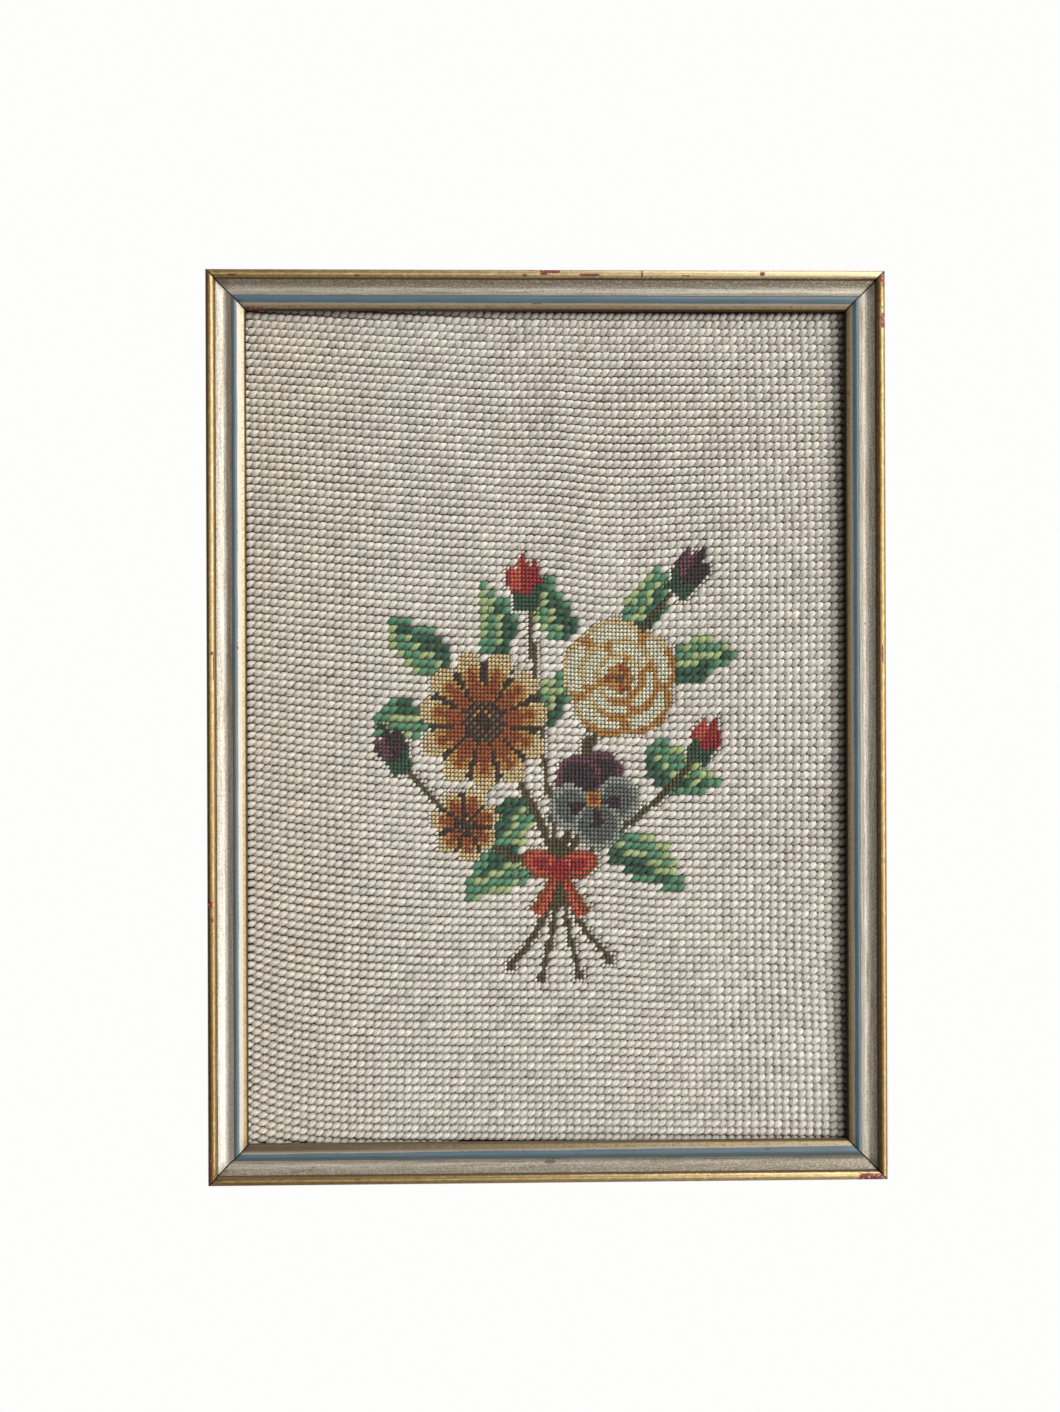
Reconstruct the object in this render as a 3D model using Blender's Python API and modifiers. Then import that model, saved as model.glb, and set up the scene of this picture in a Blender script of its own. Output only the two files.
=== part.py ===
"""Framed needlepoint: four mitred moulding rails, the stitched canvas and a plain backing board.

Metres, +Z up. The picture stands upright and faces -Y. The origin is in the middle of the
top rail's flat back, where the frame lies against the wall.
"""

import math

import bmesh
import bpy
from mathutils import Matrix, Vector

# Frame, outside and across one rail
FRAME_WIDTH = 0.216
FRAME_HEIGHT = 0.290
RAIL_FACE = 0.0120
RAIL_DEPTH = 0.0150
RABBET_WIDTH = 0.0055
RABBET_DEPTH = 0.0104

# Clearance between touching pieces
GAP = 0.0003

# What lies in the rabbet, front to back
CLOTH_THICKNESS = 0.0024
CLOTH_COLUMNS = 30
CLOTH_ROWS = 42
BOARD_THICKNESS = 0.0025
BOARD_EDGE = 0.0003

# The cloth stands proud in the middle and lies flat under the sight edge
CROWN_HEIGHT = 0.0008
FLAT_MARGIN = 0.014

# Moulding profile, u inward from the outer edge and f forward from the back
BEAD_RADIUS = 0.0012
GROOVE_FLOOR = 0.0131
LIP_RADIUS = 0.0009
LIP_START_DEGREES = 54
BEAD_STEPS = 9
LIP_STEPS = 5
CURVE_STEPS = 3

# The silvered hollow, the painted crest and the slope to the lip, as stations of the profile
HOLLOW_AND_CREST = (
    # u, f
    (0.00280, 0.01360),
    (0.00370, 0.01295),
    (0.00460, 0.01242),
    (0.00570, 0.01207),
    (0.00700, 0.01285),
    (0.00840, 0.01398),
    (0.00930, 0.01405),
    (0.01020, 0.01362),
    (0.01110, 0.01298),
)
LIP_CENTRE_HEIGHT = 0.01188

# Soft puckers of the stitched ground, measured from the middle of the sight opening
PUCKERS = (
    # across, up, half_length, half_width, lean_degrees, height
    (0.007, 0.090, 0.046, 0.010, 11.0, 0.0009),
    (-0.026, 0.075, 0.036, 0.012, 24.0, 0.0005),
    (0.034, 0.112, 0.040, 0.014, -18.0, 0.0005),
    (0.062, 0.050, 0.050, 0.012, 6.0, 0.0006),
    (-0.058, -0.006, 0.060, 0.014, -8.0, 0.0005),
    (0.040, -0.066, 0.030, 0.011, 30.0, 0.0008),
    (-0.032, -0.074, 0.032, 0.012, -34.0, 0.0007),
    (-0.072, -0.098, 0.024, 0.009, 52.0, 0.0006),
    (0.012, -0.104, 0.052, 0.010, 84.0, 0.0004),
)

# Places worked out from the sizes above
RAIL_BACK = RAIL_FACE - RABBET_WIDTH
TOP = RAIL_BACK / 2
MIDDLE = TOP - FRAME_HEIGHT / 2
SIGHT_WIDTH = FRAME_WIDTH - 2 * RAIL_FACE
SIGHT_HEIGHT = FRAME_HEIGHT - 2 * RAIL_FACE
INSERT_WIDTH = FRAME_WIDTH - 2 * RAIL_BACK - 2 * GAP
INSERT_HEIGHT = FRAME_HEIGHT - 2 * RAIL_BACK - 2 * GAP
CLOTH_FRONT = RABBET_DEPTH - GAP
BOARD_FRONT = CLOTH_FRONT - CLOTH_THICKNESS - GAP


def clear_scene():
    for obj in list(bpy.data.objects):
        bpy.data.objects.remove(obj, do_unlink=True)


def make_material(name, colour, roughness, metallic):
    material = bpy.data.materials.new(name)
    material.use_nodes = True
    shader = material.node_tree.nodes["Principled BSDF"]
    shader.inputs["Base Color"].default_value = (*colour, 1.0)
    shader.inputs["Roughness"].default_value = roughness
    shader.inputs["Metallic"].default_value = metallic
    material.diffuse_color = (*colour, 1.0)
    return material


def arc_points(centre_u, centre_f, radius, start, end, steps):
    """Points of an arc, with its angles in degrees."""
    points = []
    for step in range(steps + 1):
        angle = math.radians(start + (end - start) * step / steps)
        points.append((centre_u + radius * math.cos(angle), centre_f + radius * math.sin(angle)))
    return points


def smooth_points(stations, steps):
    """A smooth curve through the stations, with that many steps between each two."""
    points = []
    last = len(stations) - 1
    for index in range(last):
        before = Vector(stations[max(index - 1, 0)])
        start = Vector(stations[index])
        end = Vector(stations[index + 1])
        after = Vector(stations[min(index + 2, last)])
        for step in range(steps):
            t = step / steps
            point = 0.5 * (
                2 * start
                + (end - before) * t
                + (2 * before - 5 * start + 4 * end - after) * t**2
                + (3 * start - before - 3 * end + after) * t**3
            )
            points.append(tuple(point))
    points.append(stations[-1])
    return points


def moulding_profile():
    """The closed outline of the moulding: bead, groove, hollow, crest, lip, then the rabbet."""
    bead_height = RAIL_DEPTH - BEAD_RADIUS
    outline = [(0.0, 0.0)]
    outline += arc_points(BEAD_RADIUS, bead_height, BEAD_RADIUS, 180, -22, BEAD_STEPS)
    outline += [(2 * BEAD_RADIUS + 0.00002, GROOVE_FLOOR), (HOLLOW_AND_CREST[0][0] - 0.0001, GROOVE_FLOOR)]
    outline += smooth_points(HOLLOW_AND_CREST, CURVE_STEPS)
    lip_centre = RAIL_FACE - LIP_RADIUS
    outline += arc_points(lip_centre, LIP_CENTRE_HEIGHT, LIP_RADIUS, LIP_START_DEGREES, 0, LIP_STEPS)
    outline += [(RAIL_FACE, RABBET_DEPTH), (RAIL_BACK, RABBET_DEPTH), (RAIL_BACK, 0.0)]
    return outline


def outline_mesh(name, outline, length):
    """A flat outline filled and extruded to the length, as one welded mesh."""
    curve = bpy.data.curves.new(name, "CURVE")
    curve.dimensions = "2D"
    curve.fill_mode = "BOTH"
    curve.extrude = length / 2
    spline = curve.splines.new("POLY")
    spline.points.add(len(outline) - 1)
    for point, (u, f) in zip(spline.points, outline):
        point.co = (u, f, 0.0, 1.0)
    spline.use_cyclic_u = True
    drawn = bpy.data.objects.new(name + "_outline", curve)
    bpy.context.scene.collection.objects.link(drawn)
    evaluated = drawn.evaluated_get(bpy.context.evaluated_depsgraph_get())
    mesh = bpy.data.meshes.new_from_object(evaluated)
    mesh.name = name
    bpy.data.objects.remove(drawn, do_unlink=True)
    work = bmesh.new()
    work.from_mesh(mesh)
    bmesh.ops.remove_doubles(work, verts=work.verts, dist=0.000001)
    bmesh.ops.recalc_face_normals(work, faces=work.faces)
    work.to_mesh(mesh)
    work.free()
    return mesh


def mitre_ends(mesh, length):
    """Draw each end point in by its own distance from the outer edge, which cuts 45 degrees."""
    clearance = GAP / 2 * math.sqrt(2)
    for vertex in mesh.vertices:
        end = 1 if vertex.co.z > 0 else -1
        vertex.co.z = end * (length / 2 - vertex.co.x - clearance)


def add_object(name, mesh, material, collection, parent):
    mesh.materials.clear()
    mesh.materials.append(material)
    obj = bpy.data.objects.new(name, mesh)
    collection.objects.link(obj)
    obj.parent = parent
    return obj


def add_rail(name, length, half_span, turn, material, collection, parent):
    """One rail: drawn as the top rail, then turned about the middle of the picture."""
    mesh = outline_mesh(name, moulding_profile(), length)
    mitre_ends(mesh, length)
    mesh.shade_smooth()
    mesh.set_sharp_from_angle(angle=math.radians(38))
    rail = add_object(name, mesh, material, collection, parent)
    # local x is u, local y is f, local z runs along the rail
    lay_down = Matrix(((0, 0, -1, 0), (0, -1, 0, 0), (-1, 0, 0, 0), (0, 0, 0, 1)))
    to_edge = Matrix.Translation((0, 0, half_span))
    around = Matrix.Rotation(math.radians(turn), 4, "Y")
    to_middle = Matrix.Translation((0, 0, MIDDLE))
    rail.matrix_world = to_middle @ around @ to_edge @ lay_down
    return rail


def smooth_step(value):
    t = min(max(value, 0.0), 1.0)
    return t * t * (3 - 2 * t)


def cloth_rise(across, up):
    """How far the stitched cloth stands forward of the flat, at a place in the opening."""
    margin = min(SIGHT_WIDTH / 2 - abs(across), SIGHT_HEIGHT / 2 - abs(up))
    fade = smooth_step(margin / FLAT_MARGIN)
    rise = CROWN_HEIGHT
    for centre_x, centre_z, half_length, half_width, lean, height in PUCKERS:
        angle = math.radians(lean)
        dx = across - centre_x
        dz = up - centre_z
        along = -dx * math.sin(angle) + dz * math.cos(angle)
        aside = dx * math.cos(angle) + dz * math.sin(angle)
        rise += height * math.exp(-((along / half_length) ** 2) - (aside / half_width) ** 2)
    return fade * rise


def add_needlepoint(material, collection, parent):
    """The stitched canvas: one uneven sheet, flat where the rabbet holds its margin."""
    bpy.ops.mesh.primitive_grid_add(
        x_subdivisions=CLOTH_COLUMNS,
        y_subdivisions=CLOTH_ROWS,
        size=1.0,
        location=(0, 0, 0),
    )
    sheet = bpy.context.active_object
    sheet.name = "needlepoint"
    sheet.data.name = "needlepoint"
    for vertex in sheet.data.vertices:
        across = vertex.co.x * INSERT_WIDTH
        up = vertex.co.y * INSERT_HEIGHT
        vertex.co = (across, up, cloth_rise(across, up))
    sheet.data.shade_smooth()
    sheet.data.materials.append(material)
    thickness = sheet.modifiers.new("cloth thickness", "SOLIDIFY")
    thickness.thickness = CLOTH_THICKNESS
    thickness.offset = -1.0
    thickness.use_even_offset = False
    for holder in list(sheet.users_collection):
        holder.objects.unlink(sheet)
    collection.objects.link(sheet)
    sheet.parent = parent
    # the grid's own up turns to the front, and its y to the picture's up
    sheet.matrix_world = Matrix.Translation((0, -CLOTH_FRONT, MIDDLE)) @ Matrix.Rotation(
        math.radians(90), 4, "X"
    )
    return sheet


def add_backing_board(material, collection, parent):
    """The plain board behind the canvas, with its edges just broken."""
    bpy.ops.mesh.primitive_cube_add(size=1.0, location=(0, 0, 0))
    board = bpy.context.active_object
    board.name = "backing_board"
    board.data.name = "backing_board"
    board.data.transform(Matrix.Diagonal((INSERT_WIDTH, BOARD_THICKNESS, INSERT_HEIGHT, 1.0)))
    board.data.materials.append(material)
    edge = board.modifiers.new("broken edges", "BEVEL")
    edge.width = BOARD_EDGE
    edge.segments = 1
    for holder in list(board.users_collection):
        holder.objects.unlink(board)
    collection.objects.link(board)
    board.parent = parent
    board.location = (0, -(BOARD_FRONT - BOARD_THICKNESS / 2), MIDDLE)
    return board


def main():
    clear_scene()
    collection = bpy.data.collections.new("framed_needlepoint")
    bpy.context.scene.collection.children.link(collection)
    root = bpy.data.objects.new("picture", None)
    collection.objects.link(root)

    moulding = make_material("painted_moulding", (0.50, 0.46, 0.38), 0.38, 0.25)
    wool = make_material("wool_stitching", (0.55, 0.51, 0.42), 0.85, 0.0)
    board = make_material("millboard", (0.23, 0.16, 0.10), 0.80, 0.0)

    rails = (
        # name, length, half_span, turn_degrees
        ("rail_top", FRAME_WIDTH, FRAME_HEIGHT / 2, 0),
        ("rail_right", FRAME_HEIGHT, FRAME_WIDTH / 2, 90),
        ("rail_bottom", FRAME_WIDTH, FRAME_HEIGHT / 2, 180),
        ("rail_left", FRAME_HEIGHT, FRAME_WIDTH / 2, 270),
    )
    for name, length, half_span, turn in rails:
        add_rail(name, length, half_span, turn, moulding, collection, root)
    add_needlepoint(wool, collection, root)
    add_backing_board(board, collection, root)


main()
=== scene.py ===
# %% [markdown]
# # A framed needlepoint
# This lesson dresses a imported model of a small framed needlepoint. The model already holds the
# four mitred rails, the stitched cloth and the backing board at their real size, in metres, with
# +Z up and the picture facing -Y. Here each of them gets the shape and finish that shows: a gilt,
# silvered and painted moulding with its wear, and nearly eleven thousand wool stitches.
#
# We keep the size of the model from the start.

# %% Load the frame
import math
from types import SimpleNamespace

import bpy
import numpy as np
from mathutils import Matrix, Vector


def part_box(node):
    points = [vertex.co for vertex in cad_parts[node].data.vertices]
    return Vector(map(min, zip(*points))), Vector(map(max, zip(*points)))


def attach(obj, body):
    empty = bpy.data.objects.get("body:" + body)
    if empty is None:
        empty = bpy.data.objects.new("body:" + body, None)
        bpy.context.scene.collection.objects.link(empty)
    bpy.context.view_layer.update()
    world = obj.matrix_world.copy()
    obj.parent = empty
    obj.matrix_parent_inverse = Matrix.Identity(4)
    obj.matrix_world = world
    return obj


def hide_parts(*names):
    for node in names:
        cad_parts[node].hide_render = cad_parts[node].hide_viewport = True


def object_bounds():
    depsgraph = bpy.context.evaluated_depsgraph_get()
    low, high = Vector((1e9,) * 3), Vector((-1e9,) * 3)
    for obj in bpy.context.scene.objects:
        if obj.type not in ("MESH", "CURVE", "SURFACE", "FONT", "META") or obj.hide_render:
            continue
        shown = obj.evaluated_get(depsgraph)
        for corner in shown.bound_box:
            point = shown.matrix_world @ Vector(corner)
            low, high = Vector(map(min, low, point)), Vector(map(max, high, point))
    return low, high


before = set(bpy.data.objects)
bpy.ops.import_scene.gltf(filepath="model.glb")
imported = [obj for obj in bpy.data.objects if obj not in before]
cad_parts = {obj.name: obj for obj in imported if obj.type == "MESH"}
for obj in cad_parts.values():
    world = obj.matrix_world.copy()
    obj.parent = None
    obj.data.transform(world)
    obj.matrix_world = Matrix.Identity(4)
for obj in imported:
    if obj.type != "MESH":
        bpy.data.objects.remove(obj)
cad_low, cad_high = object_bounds()
scene = bpy.context.scene
print("CAD box in mm:", [round(1000 * v, 1) for v in (*cad_low, *cad_high)])

# %% [markdown]
# ## The sizes that everything follows
# A framer thinks of a moulding in two measures: how far in from the outer edge, and how far
# forward of the back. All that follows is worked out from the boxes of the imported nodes, so the
# pieces stay where the model has them. Only the rabbet, the step behind the lip that holds the
# cloth, needs its own two numbers. `MM` keeps the numbers readable.

# %% Read the sizes from the nodes
MM = 0.001

rail_low, rail_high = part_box("rail_top")
cloth_low, cloth_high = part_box("needlepoint")

HALF_WIDTH = (cad_high.x - cad_low.x) / 2
HALF_HEIGHT = (cad_high.z - cad_low.z) / 2
MIDDLE = (cad_high.z + cad_low.z) / 2
RAIL_FACE = rail_high.z - rail_low.z
RAIL_DEPTH = rail_high.y - rail_low.y
SIGHT_HALF_WIDTH = HALF_WIDTH - RAIL_FACE
SIGHT_HALF_HEIGHT = HALF_HEIGHT - RAIL_FACE
CLOTH_HALF_WIDTH = (cloth_high.x - cloth_low.x) / 2
CLOTH_HALF_HEIGHT = (cloth_high.z - cloth_low.z) / 2
CLOTH_BACK = -cloth_high.y
RABBET_DEPTH = 10.4 * MM
RABBET_SIDE = 6.5 * MM
print("outside in mm:", round(2 * HALF_WIDTH / MM, 1), "x", round(2 * HALF_HEIGHT / MM, 1))
print("back of the cloth in mm:", round(CLOTH_BACK / MM, 2))

# %% [markdown]
# ## The camera
# The photograph was taken by hand from about 35 cm, a little left of the middle. The lens and the
# place were solved from the four outer corners of the frame, so the camera is written down as a
# place, three small turns and a focal length.

# %% Place the camera
CAMERA_PLACE = (-10.98 * MM, -350.74 * MM, -135.2 * MM)
CAMERA_TURN_DEGREES = -0.889
CAMERA_ROLL_DEGREES = 0.193
CAMERA_TILT_DEGREES = 89.99
FOCAL_LENGTH = 27.05

camera_data = bpy.data.cameras.new("camera")
camera_data.sensor_width = 36.0
camera_data.lens = FOCAL_LENGTH
camera_data.clip_start = 0.01
camera_data.clip_end = 30.0
camera = bpy.data.objects.new("camera", camera_data)
scene.collection.objects.link(camera)
camera.matrix_world = (
    Matrix.Translation(CAMERA_PLACE)
    @ Matrix.Rotation(math.radians(CAMERA_TURN_DEGREES), 4, "Z")
    @ Matrix.Rotation(math.radians(CAMERA_ROLL_DEGREES), 4, "Y")
    @ Matrix.Rotation(math.radians(CAMERA_TILT_DEGREES), 4, "X")
)
scene.camera = camera
print("camera", round(-CAMERA_PLACE[1], 3), "m in front of the back of the frame")

# %% [markdown]
# ## Helpers for shapes
# Blender's operators act on whatever is selected, and the loaded nodes are selected, so every
# new primitive starts from nothing selected. Points and edges are then chosen in code by their
# place. These few helpers do that choosing.

# %% Helpers that select and edit
def select_nothing():
    if bpy.context.object is not None and bpy.context.object.mode != "OBJECT":
        bpy.ops.object.mode_set(mode="OBJECT")
    for obj in bpy.context.selected_objects:
        obj.select_set(False)


def edit_all():
    """Open the active piece for editing with all of it selected."""
    bpy.ops.object.mode_set(mode="EDIT")
    bpy.ops.mesh.select_mode(type="VERT")
    bpy.ops.mesh.select_all(action="SELECT")


def edit_where(piece, chosen):
    """Open a piece for editing with only the points selected whose place passes the test."""
    bpy.ops.object.mode_set(mode="OBJECT")
    mesh = piece.data
    for polygon in mesh.polygons:
        polygon.select = False
    for edge in mesh.edges:
        edge.select = False
    for vertex in mesh.vertices:
        vertex.select = chosen(vertex.co)
    bpy.ops.object.mode_set(mode="EDIT")
    bpy.ops.mesh.select_mode(type="VERT")


def done_editing():
    bpy.ops.object.mode_set(mode="OBJECT")


def count(piece):
    """The triangles that a piece has."""
    return sum(len(polygon.vertices) - 2 for polygon in piece.data.polygons)


# %% [markdown]
# ## Helpers for finishes
# A finish is a small tree of nodes. Most of these helpers add a node or two and hand back the
# socket to use next, so that a finish reads like a recipe further down. Sockets and plain numbers
# may be mixed freely.

# %% Helpers that build finishes
def new_finish(name):
    """A new material, its node tree and its shader."""
    finish = bpy.data.materials.new(name)
    finish.use_nodes = True
    return finish, finish.node_tree, finish.node_tree.nodes["Principled BSDF"]


def feed(tree, socket, value):
    """Link a socket, or set a plain number or colour."""
    if isinstance(value, bpy.types.NodeSocket):
        tree.links.new(value, socket)
    elif isinstance(value, tuple) and len(value) == 3 and socket.type == "RGBA":
        socket.default_value = (*value, 1.0)
    else:
        socket.default_value = value


def feed_all(tree, node, values):
    """Feed inputs of a node by their names."""
    for name, value in values.items():
        feed(tree, node.inputs[name], value)


def add_node(tree, kind, values, **settings):
    """A shader node with its settings, whose first inputs take the values in order."""
    node = tree.nodes.new("ShaderNode" + kind)
    for name, setting in settings.items():
        setattr(node, name, setting)
    for socket, value in zip(node.inputs, values):
        feed(tree, socket, value)
    return node


def calc(tree, operation, first, second=0.0, third=0.0):
    return add_node(tree, "Math", (first, second, third), operation=operation).outputs[0]


def scaled(tree, value, factor):
    return calc(tree, "MULTIPLY", value, factor)


def vector_calc(tree, operation, first, second=(0.0, 0.0, 0.0)):
    node = add_node(tree, "VectorMath", (first, second), operation=operation)
    return node.outputs["Value"] if operation == "DOT_PRODUCT" else node.outputs["Vector"]


def step_at(tree, value, place, softness):
    """0 below the place, 1 above it, and a soft change between."""
    low = place - softness / 2
    high = place + softness / 2
    node = add_node(tree, "MapRange", (), interpolation_type="SMOOTHSTEP")
    feed_all(tree, node, {"Value": value, "From Min": low, "From Max": high})
    return node.outputs["Result"]


def step_down_at(tree, value, place, softness):
    """1 below the place, 0 above it, and a soft change between."""
    return calc(tree, "SUBTRACT", 1.0, step_at(tree, value, place, softness))


def between(tree, value, low, high, softness):
    above_low = step_at(tree, value, low, softness)
    return calc(tree, "SUBTRACT", above_low, step_at(tree, value, high, softness))


def mix(tree, share, first, second):
    node = add_node(tree, "Mix", (), data_type="RGBA")
    feed_all(tree, node, {"Factor": share, "A": first, "B": second})
    return node.outputs["Result"]


def glaze(tree, colour, tone, where, strength=1.0):
    """A colour under a thin coat of a tone, which lies where a pattern says."""
    share = where if strength == 1.0 else calc(tree, "MULTIPLY", where, strength)
    return mix(tree, share, colour, tone)


def joined(tree, x, y, z):
    return add_node(tree, "CombineXYZ", (x, y, z)).outputs[0]


def parted(tree, vector):
    return tuple(add_node(tree, "SeparateXYZ", (vector,)).outputs)


def stored(tree, name, output="Fac"):
    """A value that was stored on the points of the piece."""
    return add_node(tree, "Attribute", (), attribute_name=name).outputs[output]


def object_place(tree):
    return tree.nodes.new("ShaderNodeTexCoord").outputs["Object"]


def noise(tree, vector, scale, detail=2.0, roughness=0.5):
    node = add_node(tree, "TexNoise", (vector,))
    feed_all(tree, node, {"Scale": scale, "Detail": detail, "Roughness": roughness})
    return node.outputs["Fac"]


def bumped(tree, height, distance):
    node = add_node(tree, "Bump", ())
    feed_all(tree, node, {"Strength": 1.0, "Distance": distance, "Height": height})
    return node.outputs["Normal"]


def from_screen(red, green, blue):
    """A colour as a screen shows it, 0 to 255, as the light that a shader wants."""
    light = []
    for value in (red, green, blue):
        share = value / 255
        light.append(share / 12.92 if share <= 0.04045 else ((share + 0.055) / 1.055) ** 2.4)
    return tuple(light)


# %% [markdown]
# ## The moulding's section
# A frame maker runs one moulding and cuts all four rails from it. From the outer edge inwards it
# has a round bead, a narrow groove, a shallow hollow that climbs to a crest, and a slope that rolls
# over into the lip beside the picture. We draw that section once as points: arcs for the bead and
# the lip, and a smooth curve through a few stations for the hollow, the crest and the slope.

# %% Draw the section
OUTER_SIDE = (0.0, 5.0, 10.0)
BEAD_RADIUS = 1.5 * MM
BEAD_END_DEGREES = 34
BEAD_STEPS = 16
GROOVE = ((2.79, 13.60), (2.82, 13.10), (2.95, 13.10))
CURVE_STEPS = 4
LIP_RADIUS = 0.9 * MM
LIP_MIDDLE = 11.88 * MM
LIP_START_DEGREES = 54
LIP_STEPS = 8
LIP_FOOT = 11.1 * MM
HOLLOW_AND_CREST = (
    # in from the edge, forward of the back, in mm
    (3.05, 13.33),
    (3.55, 13.14),
    (4.10, 12.88),
    (4.70, 12.56),
    (5.20, 12.32),
    (5.80, 12.19),
    (6.10, 12.19),
    (6.50, 12.27),
    (6.80, 12.41),
    (7.20, 12.72),
    (7.60, 13.10),
    (8.00, 13.47),
    (8.30, 13.71),
    (8.60, 13.89),
    (9.00, 14.02),
    (9.30, 14.03),
    (10.20, 13.62),
    (11.10, 12.98),
)


def arc(centre, radius, start, end, steps):
    """Points of an arc, its angles in degrees."""
    points = []
    for step in range(steps + 1):
        angle = math.radians(start + (end - start) * step / steps)
        points.append((centre[0] + radius * math.cos(angle), centre[1] + radius * math.sin(angle)))
    return points


def smooth_curve(stations, steps):
    """A smooth curve through the stations, which is called a Catmull-Rom spline."""
    points = []
    last = len(stations) - 1
    for index in range(last):
        before = Vector(stations[max(index - 1, 0)])
        start = Vector(stations[index])
        end = Vector(stations[index + 1])
        after = Vector(stations[min(index + 2, last)])
        for step in range(steps):
            t = step / steps
            point = start * 2 + (end - before) * t
            point += (before * 2 - start * 5 + end * 4 - after) * t**2
            point += (start * 3 - before - end * 3 + after) * t**3
            points.append(tuple(point / 2))
    points.append(stations[-1])
    return points


def moulding_section():
    """Each point as how far in from the outer edge and how far forward of the back."""
    bead_middle = (BEAD_RADIUS, RAIL_DEPTH - BEAD_RADIUS)
    lip_middle = (RAIL_FACE - LIP_RADIUS, LIP_MIDDLE)
    section = [(0.0, forward * MM) for forward in OUTER_SIDE]
    section += arc(bead_middle, BEAD_RADIUS, 180, BEAD_END_DEGREES, BEAD_STEPS)
    for inward, forward in (*GROOVE, *smooth_curve(HOLLOW_AND_CREST, CURVE_STEPS)):
        section.append((inward * MM, forward * MM))
    section += arc(lip_middle, LIP_RADIUS, LIP_START_DEGREES, 0, LIP_STEPS)
    section += [(RAIL_FACE, LIP_FOOT), (RAIL_FACE, RABBET_DEPTH)]
    section += [(RABBET_SIDE, RABBET_DEPTH), (RABBET_SIDE, 0.0)]
    return section


section = moulding_section()
print("points in the section:", len(section))

# %% [markdown]
# ## The four rails
# A rail could be a curve with a bevel object, but then its ends are square. Cutting is closer to
# the bench: a circle whose points are set to the section is extruded to the outside length, and
# two bisect cuts at 45 degrees make the mitres. A second cut just inside each mitre gives a ring
# of points, and the end ring sinks a little, which is the fine dark line that every mitred corner
# shows. Subdividing only the long edges gives the rail the points that carry its wear.

# %% Cut one rail
MITRE_EASE = 0.16 * MM
MITRE_SINK = 0.14 * MM
MITRE_GAP = 0.01 * MM
MITRE_END = 0.05 * MM
SINKS_FROM = 10.2 * MM
RAIL_DIVISIONS = 71
SMOOTH_BELOW_DEGREES = 34


def cut_rail(name, half_length, half_span):
    """A mitred rail, drawn as the top one, with its middle at the middle of the picture."""
    select_nothing()
    bpy.ops.mesh.primitive_circle_add(vertices=len(section), radius=RAIL_FACE, fill_type="NGON")
    rail = bpy.context.active_object
    rail.name = name
    rail.data.name = name
    for vertex, (u, f) in zip(rail.data.vertices, section):
        vertex.co = (-half_length, -f, half_span - u)
    edit_all()
    bpy.ops.mesh.extrude_region_move(TRANSFORM_OT_translate={"value": (2 * half_length, 0, 0)})
    for end in (-1, 1):
        for inset in (MITRE_GAP, MITRE_GAP + MITRE_EASE):
            bpy.ops.mesh.select_all(action="SELECT")
            bpy.ops.mesh.bisect(
                plane_co=(end * (half_length - inset * math.sqrt(2)), 0, half_span),
                plane_no=(end, 0, -1),
                use_fill=inset == MITRE_GAP,
                clear_outer=inset == MITRE_GAP,
                threshold=0.000001,
            )
    done_editing()

    def from_mitre(place):
        return (half_length - (half_span - place.z) - abs(place.x)) / math.sqrt(2)

    edit_where(rail, lambda place: from_mitre(place) < MITRE_END and -place.y > SINKS_FROM)
    bpy.ops.transform.translate(value=(0, MITRE_SINK, 0))
    done_editing()
    long_edges = []
    for edge in rail.data.edges:
        start, end = (rail.data.vertices[index].co for index in edge.vertices)
        runs_between_mitres = abs(start.x - end.x) > 1.2 * half_length
        if runs_between_mitres:
            long_edges.append(edge.index)
    edit_where(rail, lambda place: False)
    bpy.ops.mesh.select_mode(type="EDGE")
    done_editing()
    for index in long_edges:
        rail.data.edges[index].select = True
    bpy.ops.object.mode_set(mode="EDIT")
    bpy.ops.mesh.subdivide(number_cuts=RAIL_DIVISIONS)
    bpy.ops.mesh.select_all(action="SELECT")
    bpy.ops.mesh.normals_make_consistent(inside=False)
    done_editing()
    bpy.ops.object.shade_smooth_by_angle(angle=math.radians(SMOOTH_BELOW_DEGREES))
    return rail


RAILS = (
    # side, half length, half span, turn in degrees
    ("top", HALF_WIDTH, HALF_HEIGHT, 0),
    ("right", HALF_HEIGHT, HALF_WIDTH, 90),
    ("bottom", HALF_WIDTH, HALF_HEIGHT, 180),
    ("left", HALF_HEIGHT, HALF_WIDTH, 270),
)
rails = {}
for side, half_length, half_span, turn in RAILS:
    rail = cut_rail("moulding_" + side, half_length, half_span)
    rail.data.transform(Matrix.Rotation(math.radians(turn), 4, "Y"))
    rail.data.transform(Matrix.Translation((0, 0, MIDDLE)))
    rail.data.update()
    rails[side] = rail
    print(rail.name, count(rail), "triangles")

# %% [markdown]
# ## Where each point of a rail lies
# The gilding and paint follow the section, and the wear follows the length. So each point of a
# rail keeps three values in millimetres: how far in from the outer edge, how far along from the
# middle of the picture, and how far from the mitre. The finish reads these, and it stays put
# whichever way the frame is turned.

# %% Store the places on the rails
def keep_values(piece, name, values):
    stored_values = piece.data.attributes.new(name, "FLOAT", "POINT")
    stored_values.data.foreach_set("value", np.asarray(values, np.float32))


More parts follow.
